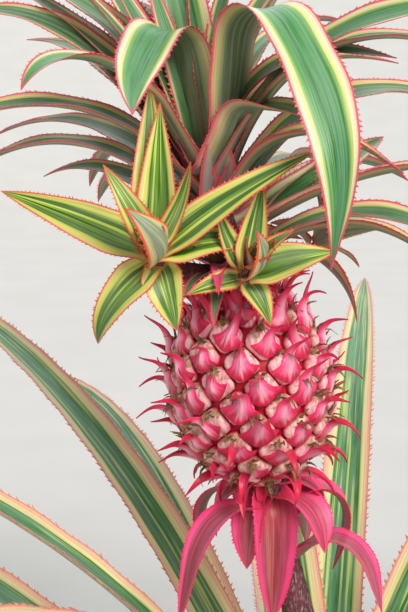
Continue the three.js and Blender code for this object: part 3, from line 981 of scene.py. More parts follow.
@dataclass(frozen=True)
class FruitletFinish(Finish):
    """Fleshy fruitlet skin: cream with pink streaks, corky near its upper corners, red in the grooves.

    Attributes:
        flesh: Its main colour.
        streak: Streaks that run up it.
        corky: The weathered part.
        fleck: Specks on the weathered part.
        groove: Between fruitlets.
    """

    name: str = "fruitlet_skin_fleshy"
    flesh: Hex = "F8CCC4"
    streak: Hex = "F2709C"
    corky: Hex = "AC7C54"
    fleck: Hex = "6A4630"
    groove: Hex = "BC1234"

    def shader(self, tree: bpy.types.NodeTree) -> bpy.types.NodeSocket:
        """Adds the finish's nodes.

        Args:
            tree: Where they go.

        Returns:
            The output that makes the surface.
        """
        uv = add_node(tree, "UVMap", uv_map=UV_NAME)
        place = add_node(tree, "SeparateXYZ", {0: uv}).node
        rim_mm = add_node(tree, "Attribute", output="Fac", attribute_name="rim_mm")
        seed = add_node(tree, "Attribute", output="Fac", attribute_name="seed")
        cell = add_node(tree, "CombineXYZ", {0: place.outputs[0], 1: place.outputs[1], 2: seed})
        # Streaks 2 mm wide on a fruitlet 20 mm wide, six times as long
        drawn = add_node(tree, "VectorMath", {0: cell, 1: (10.0, 1.6, 5.0)}, operation="MULTIPLY")
        streaks = add_node(tree, "TexNoise", {"Vector": drawn, "Scale": 1.0, "Detail": 2.0})
        streaked = add_node(tree, "MapRange", {0: streaks, 1: 0.44, 2: 0.66, 3: 0.0, 4: 0.9}, clamp=True)
        flesh = add_node(
            tree,
            "Mix",
            {0: streaked, UNDER: linear(self.flesh), OVER: linear(self.streak)},
            **MIX,
        )
        # Weathered patches 4 mm across, mostly on the upper half
        spread = add_node(tree, "VectorMath", {0: cell, 1: (5.0, 5.0, 9.0)}, operation="MULTIPLY")
        patches = add_node(tree, "TexNoise", {"Vector": spread, "Scale": 1.0, "Detail": 3.0})
        height = add_node(
            tree, "MapRange", {0: place.outputs[1], 1: 0.45, 2: 0.95, 3: -0.12, 4: 0.16}, clamp=True
        )
        weather = add_node(tree, "Math", {0: patches, 1: height}, operation="ADD")
        corky = add_node(tree, "MapRange", {0: weather, 1: 0.52, 2: 0.66, 3: 0.0, 4: 0.85}, clamp=True)
        worn = add_node(tree, "Mix", {0: corky, UNDER: flesh, OVER: linear(self.corky)}, **MIX)
        dust = add_node(tree, "VectorMath", {0: cell, 1: (26.0, 26.0, 9.0)}, operation="MULTIPLY")
        specks = add_node(tree, "TexNoise", {"Vector": dust, "Scale": 1.0, "Detail": 1.0})
        fleck = add_node(tree, "MapRange", {0: specks, 1: 0.6, 2: 0.68, 3: 0.0, 4: 0.8}, clamp=True)
        flecks = add_node(tree, "Math", {0: fleck, 1: corky}, operation="MULTIPLY")
        specked = add_node(tree, "Mix", {0: flecks, UNDER: worn, OVER: linear(self.fleck)}, **MIX)
        near = add_node(
            tree,
            "MapRange",
            {0: rim_mm, 1: 1.1, 2: 0.3, 3: 0.0, 4: 1.0},
            interpolation_type="SMOOTHSTEP",
        )
        colour = add_node(tree, "Mix", {0: near, UNDER: specked, OVER: linear(self.groove)}, **MIX)
        relief = add_node(tree, "Math", {0: specks, 1: 0.5, 2: streaks}, operation="MULTIPLY_ADD")
        bump = add_node(tree, "Bump", {"Height": relief, "Strength": 0.6, "Distance": 0.8 * MM})
        return add_node(
            tree,
            "BsdfPrincipled",
            {"Base Color": colour, "Roughness": 0.4, "IOR": 1.42, "Normal": bump},
        )


@dataclass(frozen=True)
class BractFinish(Finish):
    """Waxy bract: deep pink at its base, with a pale painted highlight along its middle where it turns out,
    dark at its point.

    Attributes:
        stations: Its colours from the base to the point.
        crest_highlight: The pale painted highlight along its middle.
        crest_highlight_strength: How strongly the painted highlight shows.
        margin: Its thin edges.
    """

    stations: Zones
    crest_highlight: Hex
    crest_highlight_strength: float
    margin: Hex

    def shader(self, tree: bpy.types.NodeTree) -> bpy.types.NodeSocket:
        """Adds the finish's nodes.

        Args:
            tree: Where they go.

        Returns:
            The output that makes the surface.
        """
        uv = add_node(tree, "UVMap", uv_map=UV_NAME)
        place = add_node(tree, "SeparateXYZ", {0: uv}).node
        seed = add_node(tree, "Attribute", output="Fac", attribute_name="seed")
        middle = add_node(tree, "Math", {0: place.outputs[0], 1: 2.0, 2: -1.0}, operation="MULTIPLY_ADD")
        outward = add_node(tree, "Math", {0: middle}, operation="ABSOLUTE")
        cell = add_node(tree, "CombineXYZ", {0: place.outputs[0], 1: place.outputs[1], 2: seed})
        # Veins 1.5 mm apart on a bract 18 mm wide
        drawn = add_node(tree, "VectorMath", {0: cell, 1: (9.0, 2.2, 7.0)}, operation="MULTIPLY")
        veins = add_node(tree, "TexNoise", {"Vector": drawn, "Scale": 1.0, "Detail": 2.0})
        stray = add_node(tree, "MapRange", {0: veins, 1: 0.2, 2: 0.8, 3: -0.12, 4: 0.12}, clamp=True)
        station = add_node(tree, "Math", {0: place.outputs[1], 1: stray}, operation="ADD")
        body = add_node(tree, "ValToRGB", {0: station}, stops=self.stations)
        # A painted highlight along the middle of the bract, between two shares of its length
        ridge = add_node(
            tree, "MapRange", {0: outward, 1: 0.8, 2: 0.05, 3: 0.0, 4: 1.0}, interpolation_type="SMOOTHSTEP"
        )
        begun = add_node(
            tree, "MapRange", {0: station, 1: 0.08, 2: 0.26, 3: 0.0, 4: 1.0}, interpolation_type="SMOOTHSTEP"
        )
        ended = add_node(
            tree, "MapRange", {0: station, 1: 0.68, 2: 0.5, 3: 0.0, 4: 1.0}, interpolation_type="SMOOTHSTEP"
        )
        both = add_node(tree, "Math", {0: begun, 1: ended}, operation="MULTIPLY")
        highlight_mask = add_node(tree, "Math", {0: both, 1: ridge}, operation="MULTIPLY")
        # The painted highlight is stronger on some bracts than on others
        spun = add_node(tree, "Math", {0: seed, 1: 2.4}, operation="MULTIPLY")
        swing = add_node(tree, "Math", {0: spun}, operation="SINE")
        least = 0.4 * self.crest_highlight_strength
        paler = add_node(tree, "MapRange", {0: swing, 1: -1.0, 2: 1.0, 3: least, 4: self.crest_highlight_strength})
        highlight_amount = add_node(tree, "Math", {0: highlight_mask, 1: paler}, operation="MULTIPLY")
        crest_highlight = add_node(tree, "Mix", {0: highlight_amount, UNDER: body, OVER: linear(self.crest_highlight)}, **MIX)
        rim = add_node(
            tree, "MapRange", {0: outward, 1: 0.72, 2: 0.98, 3: 0.0, 4: 0.8}, interpolation_type="SMOOTHSTEP"
        )
        edged = add_node(tree, "Mix", {0: rim, UNDER: crest_highlight, OVER: linear(self.margin)}, **MIX)
        shade = add_node(tree, "MapRange", {0: veins, 1: 0.3, 2: 0.7, 3: 0.88, 4: 1.1}, clamp=True)
        colour = add_node(tree, "VectorMath", {0: edged, "Scale": shade}, operation="SCALE")
        bump = add_node(tree, "Bump", {"Height": veins, "Strength": 0.5, "Distance": 0.6 * MM})
        return add_node(
            tree,
            "BsdfPrincipled",
            {
                "Base Color": colour,
                "Roughness": 0.36,
                "IOR": 1.45,
                "Normal": bump,
                "Sheen Weight": 0.1,
                "Sheen Tint": linear("FFD9E6"),
            },
        )


@dataclass(frozen=True)
class Skins:
    """The three finishes of one kind of leaf.

    Attributes:
        upper: Its upper side.
        under: Its under side.
        edge: Its rim and thorns.
    """

    upper: BladeFinish
    under: BladeFinish
    edge: EdgeFinish

    def materials(self) -> tuple[bpy.types.Material, ...]:
        """Returns the built materials, in the order of Side."""
        return self.upper.material(), self.under.material(), self.edge.material()


# Broad strap leaves in the open: satin, grey-green and waxy; the pale wax, partly a painted sheen, makes them
# look a little silvery
ROSETTE_SKINS = Skins(
    upper=BladeFinish(
        name="rosette_leaf_upper_waxed",
        fresh=(
            (0.0, "2F7A34"),
            (0.48, "468A38"),
            (0.56, "1F5A22"),
            (0.62, "D4DC6C"),
            (0.72, "F0DCA0"),
            (0.9, "F4BC94"),
        ),
        aged=(
            (0.0, "3E7C56"),
            (0.46, "4E885A"),
            (0.56, "265636"),
            (0.64, "D2CE80"),
            (0.76, "EFC8A0"),
            (0.94, "EDA68C"),
        ),
        dark="1E5426",
        pale="C9D46A",
        rim="E08A70",
        root="D8C7A0",
        root_share=0.16,
        width=46,
        length=800,
        stripe=2.6,
        # Pale wax in patches, partly a painted bluish sheen
        bloom_and_sheen_share=0.28,
        striping=0.75,
    ),
    under=BladeFinish(
        name="rosette_leaf_under_scurfy",
        fresh=((0.0, "5E8466"), (0.5, "6E9070"), (0.62, "C6CC96"), (0.8, "EBC8A4")),
        aged=((0.0, "6A8573"), (0.5, "7A907C"), (0.66, "C8BE9A"), (0.84, "E0B094")),
        dark="4A6E55",
        pale="B9C8A8",
        rim="D98A72",
        root="C9B8A0",
        root_share=0.2,
        width=46,
        length=800,
        bloom_and_sheen_share=0.5,
        roughness=0.55,
    ),
    edge=EdgeFinish("rosette_thorn_horny", "E0907A", "B8402E"),
)

# Crown leaves: glossier and brighter when fresh, with white and yellow-green bands inside a pink-red rim
CROWN_SKINS = Skins(
    upper=BladeFinish(
        name="crown_leaf_upper_satin",
        fresh=(
            (0.0, "38883C"),
            (0.5, "4C9844"),
            (0.62, "8CB45E"),
            (0.7, "DEE280"),
            (0.82, "F6EFC6"),
            (0.94, "F2C8A8"),
        ),
        aged=(
            (0.0, "4E6E3E"),
            (0.5, "5C7C44"),
            (0.6, "3E5E30"),
            (0.68, "CCC45C"),
            (0.82, "E4C07C"),
            (0.94, "E59684"),
        ),
        dark="1C5E34",
        pale="7FB070",
        rim="E2566A",
        root="A27C88",
        root_share=0.18,
        width=40,
        length=260,
        stripe=2.6,
        vein=0.9,
        striping=0.6,
        wander=0.2,
        # Bluish-white wax, partly a painted sheen
        bloom_and_sheen="C4DCD8",
        bloom_and_sheen_share=0.24,
        roughness=0.36,
    ),
    under=BladeFinish(
        name="crown_leaf_under_scurfy",
        fresh=((0.0, "60794E"), (0.5, "6C8458"), (0.66, "A8B070"), (0.8, "DCCB86"), (0.94, "E5A084")),
        aged=((0.0, "6C7A58"), (0.5, "76825C"), (0.68, "B0A26C"), (0.84, "D8A47C"), (0.95, "D67C70")),
        dark="465A40",
        pale="A0B08A",
        rim="DE5A66",
        root="96798A",
        root_share=0.3,
        width=40,
        length=260,
        stripe=2.2,
        vein=0.9,
        bloom_and_sheen="B2BDB4",
        bloom_and_sheen_share=0.36,
        roughness=0.5,
    ),
    edge=EdgeFinish("crown_thorn_horny", "E8606A", "C42840"),
)

# Slip leaves: tender, bright green and lemon, with an orange-red rim
SLIP_SKINS = Skins(
    upper=BladeFinish(
        name="slip_leaf_upper_tender",
        fresh=(
            (0.0, "6C9C24"),
            (0.4, "5A8A22"),
            (0.5, "3A6C18"),
            (0.57, "B6D03C"),
            (0.68, "E2E268"),
            (0.9, "EED884"),
        ),
        aged=(
            (0.0, "64803A"),
            (0.42, "50702C"),
            (0.54, "30561A"),
            (0.6, "A8C040"),
            (0.74, "D4D45C"),
            (0.93, "E6B86E"),
        ),
        dark="245A0E",
        pale="D9EA60",
        rim="EE6C50",
        root="E8C46A",
        root_share=0.12,
        width=30,
        length=110,
        stripe=2.2,
        vein=0.8,
        rim_width=0.9,
        striping=0.85,
        wander=0.26,
        bloom_and_sheen="DCE8C4",
        bloom_and_sheen_share=0.2,
        roughness=0.34,
        sheen=0.06,
    ),
    under=BladeFinish(
        name="slip_leaf_under_scurfy",
        fresh=((0.0, "8FA070"), (0.45, "9CA878"), (0.62, "CCCE84"), (0.85, "E8D890")),
        aged=((0.0, "86947A"), (0.45, "949C80"), (0.62, "C4BC88"), (0.85, "E2BC84")),
        dark="66805A",
        pale="C4CCA8",
        rim="EE5A38",
        root="D8B088",
        root_share=0.2,
        width=30,
        length=110,
        stripe=2.0,
        vein=0.8,
        rim_width=1.2,
        bloom_and_sheen="C4C8C4",
        bloom_and_sheen_share=0.4,
        roughness=0.5,
    ),
    edge=EdgeFinish("slip_thorn_horny", "EC6A50", "D8402E"),
)

# Collar leaves: the long ones have an olive-brown middle between hot pink bands, the short ones are all pink
COLLAR_SKINS = Skins(
    upper=BladeFinish(
        name="collar_leaf_upper_satin",
        fresh=((0.0, "B0484E"), (0.42, "B04058"), (0.6, "CC3A66"), (0.72, "F23C80"), (0.9, "F85092")),
        aged=((0.0, "E43E6C"), (0.4, "EA4674"), (0.7, "F63A7A"), (0.92, "FA5A92")),
        dark="842436",
        pale="C07A5C",
        rim="FF3E7C",
        root="C82844",
        root_share=0.45,
        width=28,
        length=110,
        stripe=2.2,
        vein=0.8,
        rim_width=1.2,
        striping=0.6,
        wander=0.24,
        # Pink wax, partly a painted sheen
        bloom_and_sheen="F0A8CC",
        bloom_and_sheen_share=0.24,
        roughness=0.36,
    ),
    under=BladeFinish(
        name="collar_leaf_under_scurfy",
        fresh=((0.0, "9A8478"), (0.5, "A88078"), (0.66, "D0648A"), (0.9, "F05088")),
        aged=((0.0, "E0608C"), (0.5, "E86A94"), (0.9, "F25A8C")),
        dark="84645E",
        pale="C8A6A0",
        rim="FF3A76",
        root="CC4468",
        root_share=0.3,
        width=28,
        length=110,
        stripe=2.0,
        vein=0.8,
        rim_width=1.2,
        bloom_and_sheen="E6C8D0",
        bloom_and_sheen_share=0.35,
        roughness=0.5,
    ),
    edge=EdgeFinish("collar_thorn_horny", "FF3472", "E01A50"),
)

# Bracts: waxy and fleshy, with a pale painted highlight where they turn out; the inner side is crimson, with
# a weaker painted highlight
BRACT_OUTER = BractFinish(
    name="bract_outer_waxy",
    stations=(
        (0.0, "C4143C"),
        (0.16, "EA3268"),
        (0.4, "FC5E9E"),
        (0.62, "F43A72"),
        (0.85, "D8204E"),
        (1.0, "98162E"),
    ),
    # Near-white painted highlight
    crest_highlight="FFE6EE",
    crest_highlight_strength=1.0,
    margin="EC2658",
)
BRACT_INNER = BractFinish(
    name="bract_inner_waxy",
    stations=((0.0, "D01A42"), (0.5, "EA3460"), (0.8, "DA2248"), (1.0, "98142E")),
    # A weaker pink painted highlight on the inner side
    crest_highlight="F4789C",
    crest_highlight_strength=0.3,
    margin="EC2658",
)
# Fruitlets: moist flesh with corky, cracked patches where the flower dried
FRUITLET_SKIN = FruitletFinish()
# Dried flowers: papery brown scraps
DRIED_FLOWER = BarkFinish("dried_flower_papery", "9C7448", "5E4028", "DDC096", 0.7, 0.7, 2.0)
# Stem: dull brown, wrapped in the torn bases of old leaves
STEM_BARK = BarkFinish("stem_bark_fibrous", "6E5A3E", "3E3122", "A8946E", 0.6, 1.6, 6.0)
# Stalk: purple-brown under white scales
STALK_SKIN = BarkFinish("stalk_skin_scurfy", "7A3A48", "4A2430", "C9B4B4", 0.65, 1.1, 4.0)
# Crown and slip stems: green flushed with red
YOUNG_STALK_SKIN = BarkFinish("young_stalk_skin_scurfy", "96484E", "5A2C38", "C8B8A8", 0.5, 0.9, 4.0)


# Sub-assemblies


@dataclass(frozen=True)
class Rod:
    """A round rod along a curve.

    Attributes:
        curve: Its middle line.
        radii: Its radius, as stations of (share of the length, millimetres).
        relief: How far its skin is rough.
    """

    curve: Bezier
    radii: tuple[tuple[float, float], ...]
    relief: float = 0.0

    def add(self, gathering: Gathering, blank: Blank, reach: float = 1.0) -> None:
        """Shapes the rod and adds it.

        Args:
            gathering: The piece that it is for.
            blank: A rod of radius 1 and height 1.
            reach: How much of the curve it takes; over 1 it runs on past the end.
        """
        x, y, share = blank.points.T
        shares = share * reach
        heading = self.curve.heading(shares)
        side = unit(np.cross(np.array([0.0, 1.0, 0.0]), heading))
        other = np.cross(heading, side)
        stations, radii = np.array(self.radii).T
        turn = np.arctan2(y, x)
        rough = np.sin(5 * turn + 40 * share) * np.sin(3 * turn - 61 * share)
        rough = rough + 0.5 * np.sin(9 * turn + 97 * share)
        radius = np.interp(shares, stations, radii) + self.relief * rough
        points = self.curve.at(shares) + side * (x * radius)[:, None] + other * (y * radius)[:, None]
        uv = np.stack([turn / (2 * np.pi) + 0.5, share], axis=1)
        gathering.add(blank, points, uv, {"seed": 0.0})


@dataclass
class Stem:
    """The short stout stem, ringed by the scars of old leaves."""

    height: float = 190.0
    foot_radius: float = 46.0
    radius: float = 33.0
    top_radius: float = 19.0
    scars: int = 14

    def radius_at(self, height: float | np.ndarray) -> float | np.ndarray:
        """Returns the stem's radius at a height."""
        flare = (self.foot_radius - self.radius) * np.exp(-height / 16)
        taper = (self.radius - self.top_radius) * smoothstep(height / self.height, 0.45, 1.0)
        return self.radius + flare - taper

    def build(self) -> None:
        """Models the stem with its leaf scars and dresses it."""
        blank = rod_blank(sides=32, rings=70)
        x, y, share = blank.points.T
        share = np.maximum(share, 0.0)
        height = share * self.height
        turn = np.arctan2(y, x)
        # Each scar is a ledge that climbs round the stem, and its lip stands 1.6 mm proud
        phase = share * self.scars + 0.35 * np.sin(2 * turn + 3 * share) + 0.2 * np.sin(5 * turn)
        lip = 1.6 * (1 - np.modf(phase + 2)[0]) ** 2 * smoothstep(share, 0.0, 0.05)
        rough = 0.5 * np.sin(11 * turn + 70 * share) * np.sin(7 * turn - 90 * share)
        radius = (self.radius_at(height) - 1.2 + lip + rough) * np.hypot(x, y)
        points = np.stack([radius * np.cos(turn), radius * np.sin(turn), height], axis=1)
        gathering = Gathering()
        gathering.add(blank, points, np.stack([turn / (2 * np.pi) + 0.5, share], axis=1), {"seed": 0.0})
        gathering.piece("stem_bark", [STEM_BARK.material()], ["stem"], "stem_bark")


@dataclass
class FruitStalk:
    """The bent stalk that carries the fruit."""

    stem: Stem
    fruit_base: np.ndarray
    fruit_axis: np.ndarray
    gap: float = 0.3
    straight: float = 90.0
    head_run: float = 60.0
    foot_radius: float = 16.0
    radius: float = 11.5
    head_radius: float = 17.0

    @property
    def curve(self) -> Bezier:
        """Returns the stalk's middle line."""
        return Bezier(
            np.array(
                [
                    (0.0, 0.0, self.stem.height + self.gap),
                    (0.0, 0.0, self.stem.height + self.straight),
                    self.fruit_base - self.head_run * self.fruit_axis,
                    self.fruit_base - self.gap * self.fruit_axis,
                ]
            )
        )

    def build(self) -> None:
        """Models the stalk and dresses it."""
        shares = np.linspace(0.0, 1.0, 24)
        foot = (self.foot_radius - self.radius) * (1 - smoothstep(shares, 0.0, 0.3))
        head = (self.head_radius - self.radius) * smoothstep(shares, 0.85, 1.0)
        radii = tuple(zip(shares, self.radius + foot + head, strict=True))
        gathering = Gathering()
        Rod(self.curve, radii, relief=0.35).add(gathering, rod_blank(sides=28, rings=90), reach=1.012)
        gathering.piece("fruit_stalk_skin", [STALK_SKIN.material()], ["fruit_stalk"], "stalk_skin")


@dataclass
class Rosette:
    """The plant's long leaves, the oldest and lowest first."""

    stem: Stem
    bench: LeafBench
    leaves: int = 26
    start: float = 40.0
    width: float = 46.0
    lowest: float = 16.0
    highest: float = 176.0
    sunk: float = 8.0

    def leaf(self, index: int) -> Leaf:
        """Returns the leaf with this number, counted from 0 at the foot."""
        share = index / (self.leaves - 1)
        azimuth = (self.start + index * GOLDEN_ANGLE) % 360
        root = lerp(self.lowest, self.highest, share)
        return Leaf(
            azimuth=azimuth,
            root=root,
            radius=float(self.stem.radius_at(root)) - self.sunk,
            rise=lerp(26, 64, share) - 14 * facing(azimuth) ** 2,
            fall=lerp(-27, 10, share),
            length=560 + 290 * math.sin(math.pi * lerp(0.1, 0.9, share)),
            width=self.width,
            sweep=4 * wobble(index, 3),
            age=float(np.clip(0.85 - 0.75 * share + 0.15 * wobble(index, 5), 0, 1)),
            seed=index + 0.5,
        )

    def build(self) -> None:
        """Models every leaf and dresses it."""
        style = BladeStyle(ROSETTE_SKINS.materials(), Thorns(6.8, 3.4), thick=2.6, ripple=0.03, clasp=0.55)
        for index in range(self.leaves):
            gathering = Gathering()
            self.bench.add(gathering, self.leaf(index), style, np.eye(4))
            node = f"rosette_leaf_{index + 1:02d}"
            gathering.piece(f"{node}_blade", style.finishes, [node], "rosette_blade")


@dataclass
class Collar:
    """Red leaves that droop from the stalk under the fruit."""

    stalk: FruitStalk
    bench: LeafBench
    lines: tuple[tuple[float, ...], ...] = (
        # azimuth, share of the stalk, rise, fall, bend from, bend to, length, width, age
        (330, 0.67, 48, -70, 0.1, 0.8, 110, 30, 0.1),
        (70, 0.77, 44, -74, 0.0, 0.8, 120, 27, 0.1),
        (222, 0.83, 38, -72, 0.0, 0.75, 135, 25, 0.0),
        (148, 0.86, 36, -80, 0.0, 0.8, 96, 28, 0.2),
        (5, 0.855, 38, -100, 0.1, 0.7, 108, 28, 0.1),
        (108, 0.91, 30, -84, 0.0, 0.8, 84, 28, 0.3),
        (238, 0.935, 14, -85, -0.2, 0.6, 62, 28, 0.35),
        (318, 0.912, 20, -75, 0.0, 0.9, 66, 34, 0.75),
        (280, 0.95, 25, -92, -0.2, 0.4, 106, 32, 0.0),
        (40, 0.94, 26, -88, 0.0, 0.8, 64, 30, 0.6),
        (192, 0.95, 16, -80, 0.0, 0.7, 58, 24, 0.5),
        (350, 0.955, 26, -62, 0.0, 1.0, 46, 26, 1.0),
    )

    def build(self) -> None:
        """Models every collar leaf and dresses it."""
        style = BladeStyle(COLLAR_SKINS.materials(), Thorns(2.8, 1.6), thick=1.4, ripple=0.06, clasp=0.4)
        for index, (azimuth, at, rise, fall, bend_from, bend_to, length, width, age) in enumerate(self.lines):
            leaf = Leaf(
                azimuth=azimuth,
                root=0.0,
                radius=6.0,
                rise=rise,
                fall=fall,
                bend_from=bend_from,
                bend_to=bend_to,
                length=length,
                width=width,
                age=age,
                seed=40.5 + index,
            )
            place = np.eye(4)
            place[:3, 3] = self.stalk.curve.at(np.array([at]))[0]
            gathering = Gathering()
            self.bench.add(gathering, leaf, style, place)
            node = f"collar_leaf_{index + 1:02d}"
            gathering.piece(f"{node}_blade", style.finishes, [node], "collar_blade")


@dataclass(frozen=True)
class Seats:
    """Where the fruitlets sit on the barrel.

    Attributes:
        turns: The way round to each, in radians.
        heights: Above the barrel's foot.
        arcs: Along the barrel's skin from its foot.
    """

    turns: np.ndarray
    heights: np.ndarray
    arcs: np.ndarray


@dataclass
class Fruit:
    """The fruit: a barrel of fruitlets on a spiral, each with a bract that hoods it below and turns out."""

    base: tuple[float, float, float] = (-46.0, -5.0, 430.0)
    lean: float = 8.8
    height: float = 137.0
    radius: float = 54.0
    fruitlets: int = 98
    core_depth: float = 2.6
    swell: float = 4.6
    rim_depth: float = 3.0
    roundness: float = 26.0

    # The width of a bract along it, as a share of its fruitlet's width
    bract_outline = (
        (0.0, 0.96),
        (0.08, 0.9),
        (0.17, 0.68),
        (0.26, 0.5),
        (0.36, 0.41),
        (0.48, 0.35),
        (0.6, 0.28),
        (0.76, 0.17),
        (0.9, 0.08),
        (1.0, 0.012),
    )
    # Slopes of a bract from its base to its point, from straight out (0) to up the skin (90), on three parts
    # of the fruit
    stations = (0.0, 0.1, 0.24, 0.4, 0.54, 0.7, 0.85, 1.0)
    low_slopes = (40.0, 64.0, 78.0, 58.0, 26.0, 2.0, -16.0, -40.0)
    middle_slopes = (44.0, 70.0, 84.0, 74.0, 44.0, 22.0, 16.0, 24.0)
    high_slopes = (50.0, 72.0, 86.0, 82.0, 68.0, 48.0, 28.0, 8.0)
    tuft_slopes = (80.0, 80.0, 76.0, 66.0, 50.0, 32.0, 14.0, -8.0)
    tuft = 30
    least_girth = 12.0  # near the ends of the barrel, where its own radius goes to nothing
    neighbourly = 48.0  # fruitlets further away than this are no neighbours
    furthest = 60.0  # the reach towards any one neighbour counts no further than this
    widest = 13.0  # no fruitlet reaches further than this, neighbours or none

    def __post_init__(self) -> None:
        """Works out the barrel's profile and the fruitlets' seats."""
        self.axis = leaning(self.lean)
        self.foot = np.array(self.base)
        self.top = self.foot + self.height * self.axis
        self.place = frame_at(self.foot, self.axis)
        slices = 400
        self.levels = np.linspace(0.0, self.height, slices + 1)
        radii = self.radius_at(self.levels)
        runs = np.hypot(np.diff(self.levels), np.diff(radii))
        self.arcs = np.r_[0.0, np.cumsum(runs)]
        areas = np.r_[0.0, np.cumsum((radii[1:] + radii[:-1]) / 2 * runs)]
        wanted = (np.arange(self.fruitlets) + 0.5) / self.fruitlets * areas[-1]
        heights = np.interp(wanted, areas, self.levels)
        turns = np.radians(np.arange(self.fruitlets) * GOLDEN_ANGLE)
        self.seats = Seats(turns, heights, np.interp(heights, self.levels, self.arcs))

    def radius_at(self, heights: np.ndarray) -> np.ndarray:
        """Returns the barrel's radius at each height."""
        share = np.abs(2 * heights / self.height - 1)
        return self.radius * np.sqrt(np.maximum(0.0, 1 - share**2.4))

    def girth(self, index: int) -> float:
        """Returns the radius by which ways round a fruitlet are measured."""
        return max(float(self.radius_at(self.seats.heights[index])), self.least_girth)

    def skin(self, turns: np.ndarray, arcs: np.ndarray) -> tuple[np.ndarray, np.ndarray, np.ndarray]:
        """Finds places on the barrel.

        Args:
            turns: The way round to each, in radians.
            arcs: Along the skin from the barrel's foot.

        Returns:
            The points, the ways out of the skin and the ways up it.
        """
        end = 0.6
        heights = np.interp(np.clip(arcs, end, self.arcs[-1] - end), self.arcs, self.levels)
        nudge = 0.4
        slope = (self.radius_at(heights + nudge) - self.radius_at(heights - nudge)) / (2 * nudge)
        flat = np.zeros_like(slope)
        around = np.stack([np.cos(turns), np.sin(turns), flat], axis=1)
        point = around * self.radius_at(heights)[:, None] + UP * heights[:, None]
        return point, unit(around - UP * slope[:, None]), unit(around * slope[:, None] + UP)

    def cell(self, index: int, angles: np.ndarray) -> np.ndarray:
        """Says how far a fruitlet reaches before it meets its neighbours.

        Args:
            index: The fruitlet.
            angles: Directions on the skin, from the way round towards the way up.

        Returns:
            The reach in each direction.
        """
        seats = self.seats
        radius = self.girth(index)
        turn = (seats.turns - seats.turns[index] + np.pi) % (2 * np.pi) - np.pi
        across, up = radius * turn, seats.arcs - seats.arcs[index]
        near = (np.hypot(across, up) < self.neighbourly) & (np.arange(self.fruitlets) != index)
        across, up = across[near][:, None], up[near][:, None]
        towards = across * np.cos(angles) + up * np.sin(angles)
        reach = (across**2 + up**2) / (2 * np.maximum(towards, 1e-3))
        reach = np.minimum(reach, self.furthest)
        total = np.sum(reach**-self.roundness, axis=0) + self.widest**-self.roundness
        return total ** (-1 / self.roundness)

    def add_core(self, gathering: Gathering) -> None:
        """Adds the flesh that shows in the grooves.

        Args:
            gathering: The piece that it is for.
        """
        blank = rod_blank(sides=40, rings=28)
        x, y, share = blank.points.T
        heights = self.height / 2 * (1 - np.cos(np.pi * share))
        radius = np.maximum(self.radius_at(heights) - self.core_depth, 3.0) * np.hypot(x, y)
        turn = np.arctan2(y, x)
        points = np.stack([radius * np.cos(turn), radius * np.sin(turn), heights], axis=1)
        uv = np.stack([turn / (2 * np.pi) + 0.5, share], axis=1)
        self.add(gathering, blank, points, uv, {"seed": 0.0, "rim_mm": 0.0})

    def add(
        self,
        gathering: Gathering,
        blank: Blank,
        points: np.ndarray,
        uv: np.ndarray,
        traits: dict[str, object],
    ) -> None:
        """Adds a part of the fruit.

        Args:
            gathering: The piece that it is for.
            blank: What it was shaped from.
            points: Its points in the fruit's frame.
            uv: Their place on the part.
            traits: Values that the finishes read.
        """
        gathering.add(blank, points @ self.place[:3, :3].T + self.place[:3, 3], uv, traits)

    def add_cushion(self, gathering: Gathering, blank: Blank, index: int) -> None:
        """Adds a fruitlet's cushion.

        Args:
            gathering: The piece that it is for.
            blank: A disc of radius 1.
            index: The fruitlet.
        """
        x, y, _ = blank.points.T
        share, angle = np.hypot(x, y), np.arctan2(y, x)
        reach = self.cell(index, angle)
        seats = self.seats
        radius = self.girth(index)
        turns = seats.turns[index] + share * reach * np.cos(angle) / radius
        arcs = seats.arcs[index] + share * reach * np.sin(angle)
        point, out, _ = self.skin(turns, arcs)
        dome = self.dome(index, share, angle)
        uv = np.stack([0.5 + x / 2, 0.5 + y / 2], axis=1)
        traits = {"seed": float(index), "rim_mm": (1 - share) * reach}
        self.add(gathering, blank, point + out * dome[:, None], uv, traits)

    def dome(self, index: int, share: np.ndarray, angle: np.ndarray) -> np.ndarray:
        """Says how far a fruitlet's cushion stands out of the barrel.

        Args:
            index: The fruitlet.
            share: From its middle, 0, to its groove, 1.
            angle: From the way round towards the way up.

        Returns:
            The height at each place.
        """
        # The lower half lies a little lower, because the bract hoods it
        hooded = lerp(0.6, 1.0, smoothstep(share * np.sin(angle), -0.6, 0.3))
        wrinkle = 0.3 * np.sin(7 * angle + 3 * index) * share * (1 - share) * 4
        dent = 0.7 * np.exp(-((share / 0.2) ** 2))
        crown = np.maximum(1 - share**9.0, 0.0) ** 0.6
        return (self.swell * hooded - dent) * crown + wrinkle - self.rim_depth * np.minimum(share, 1.0) ** 14

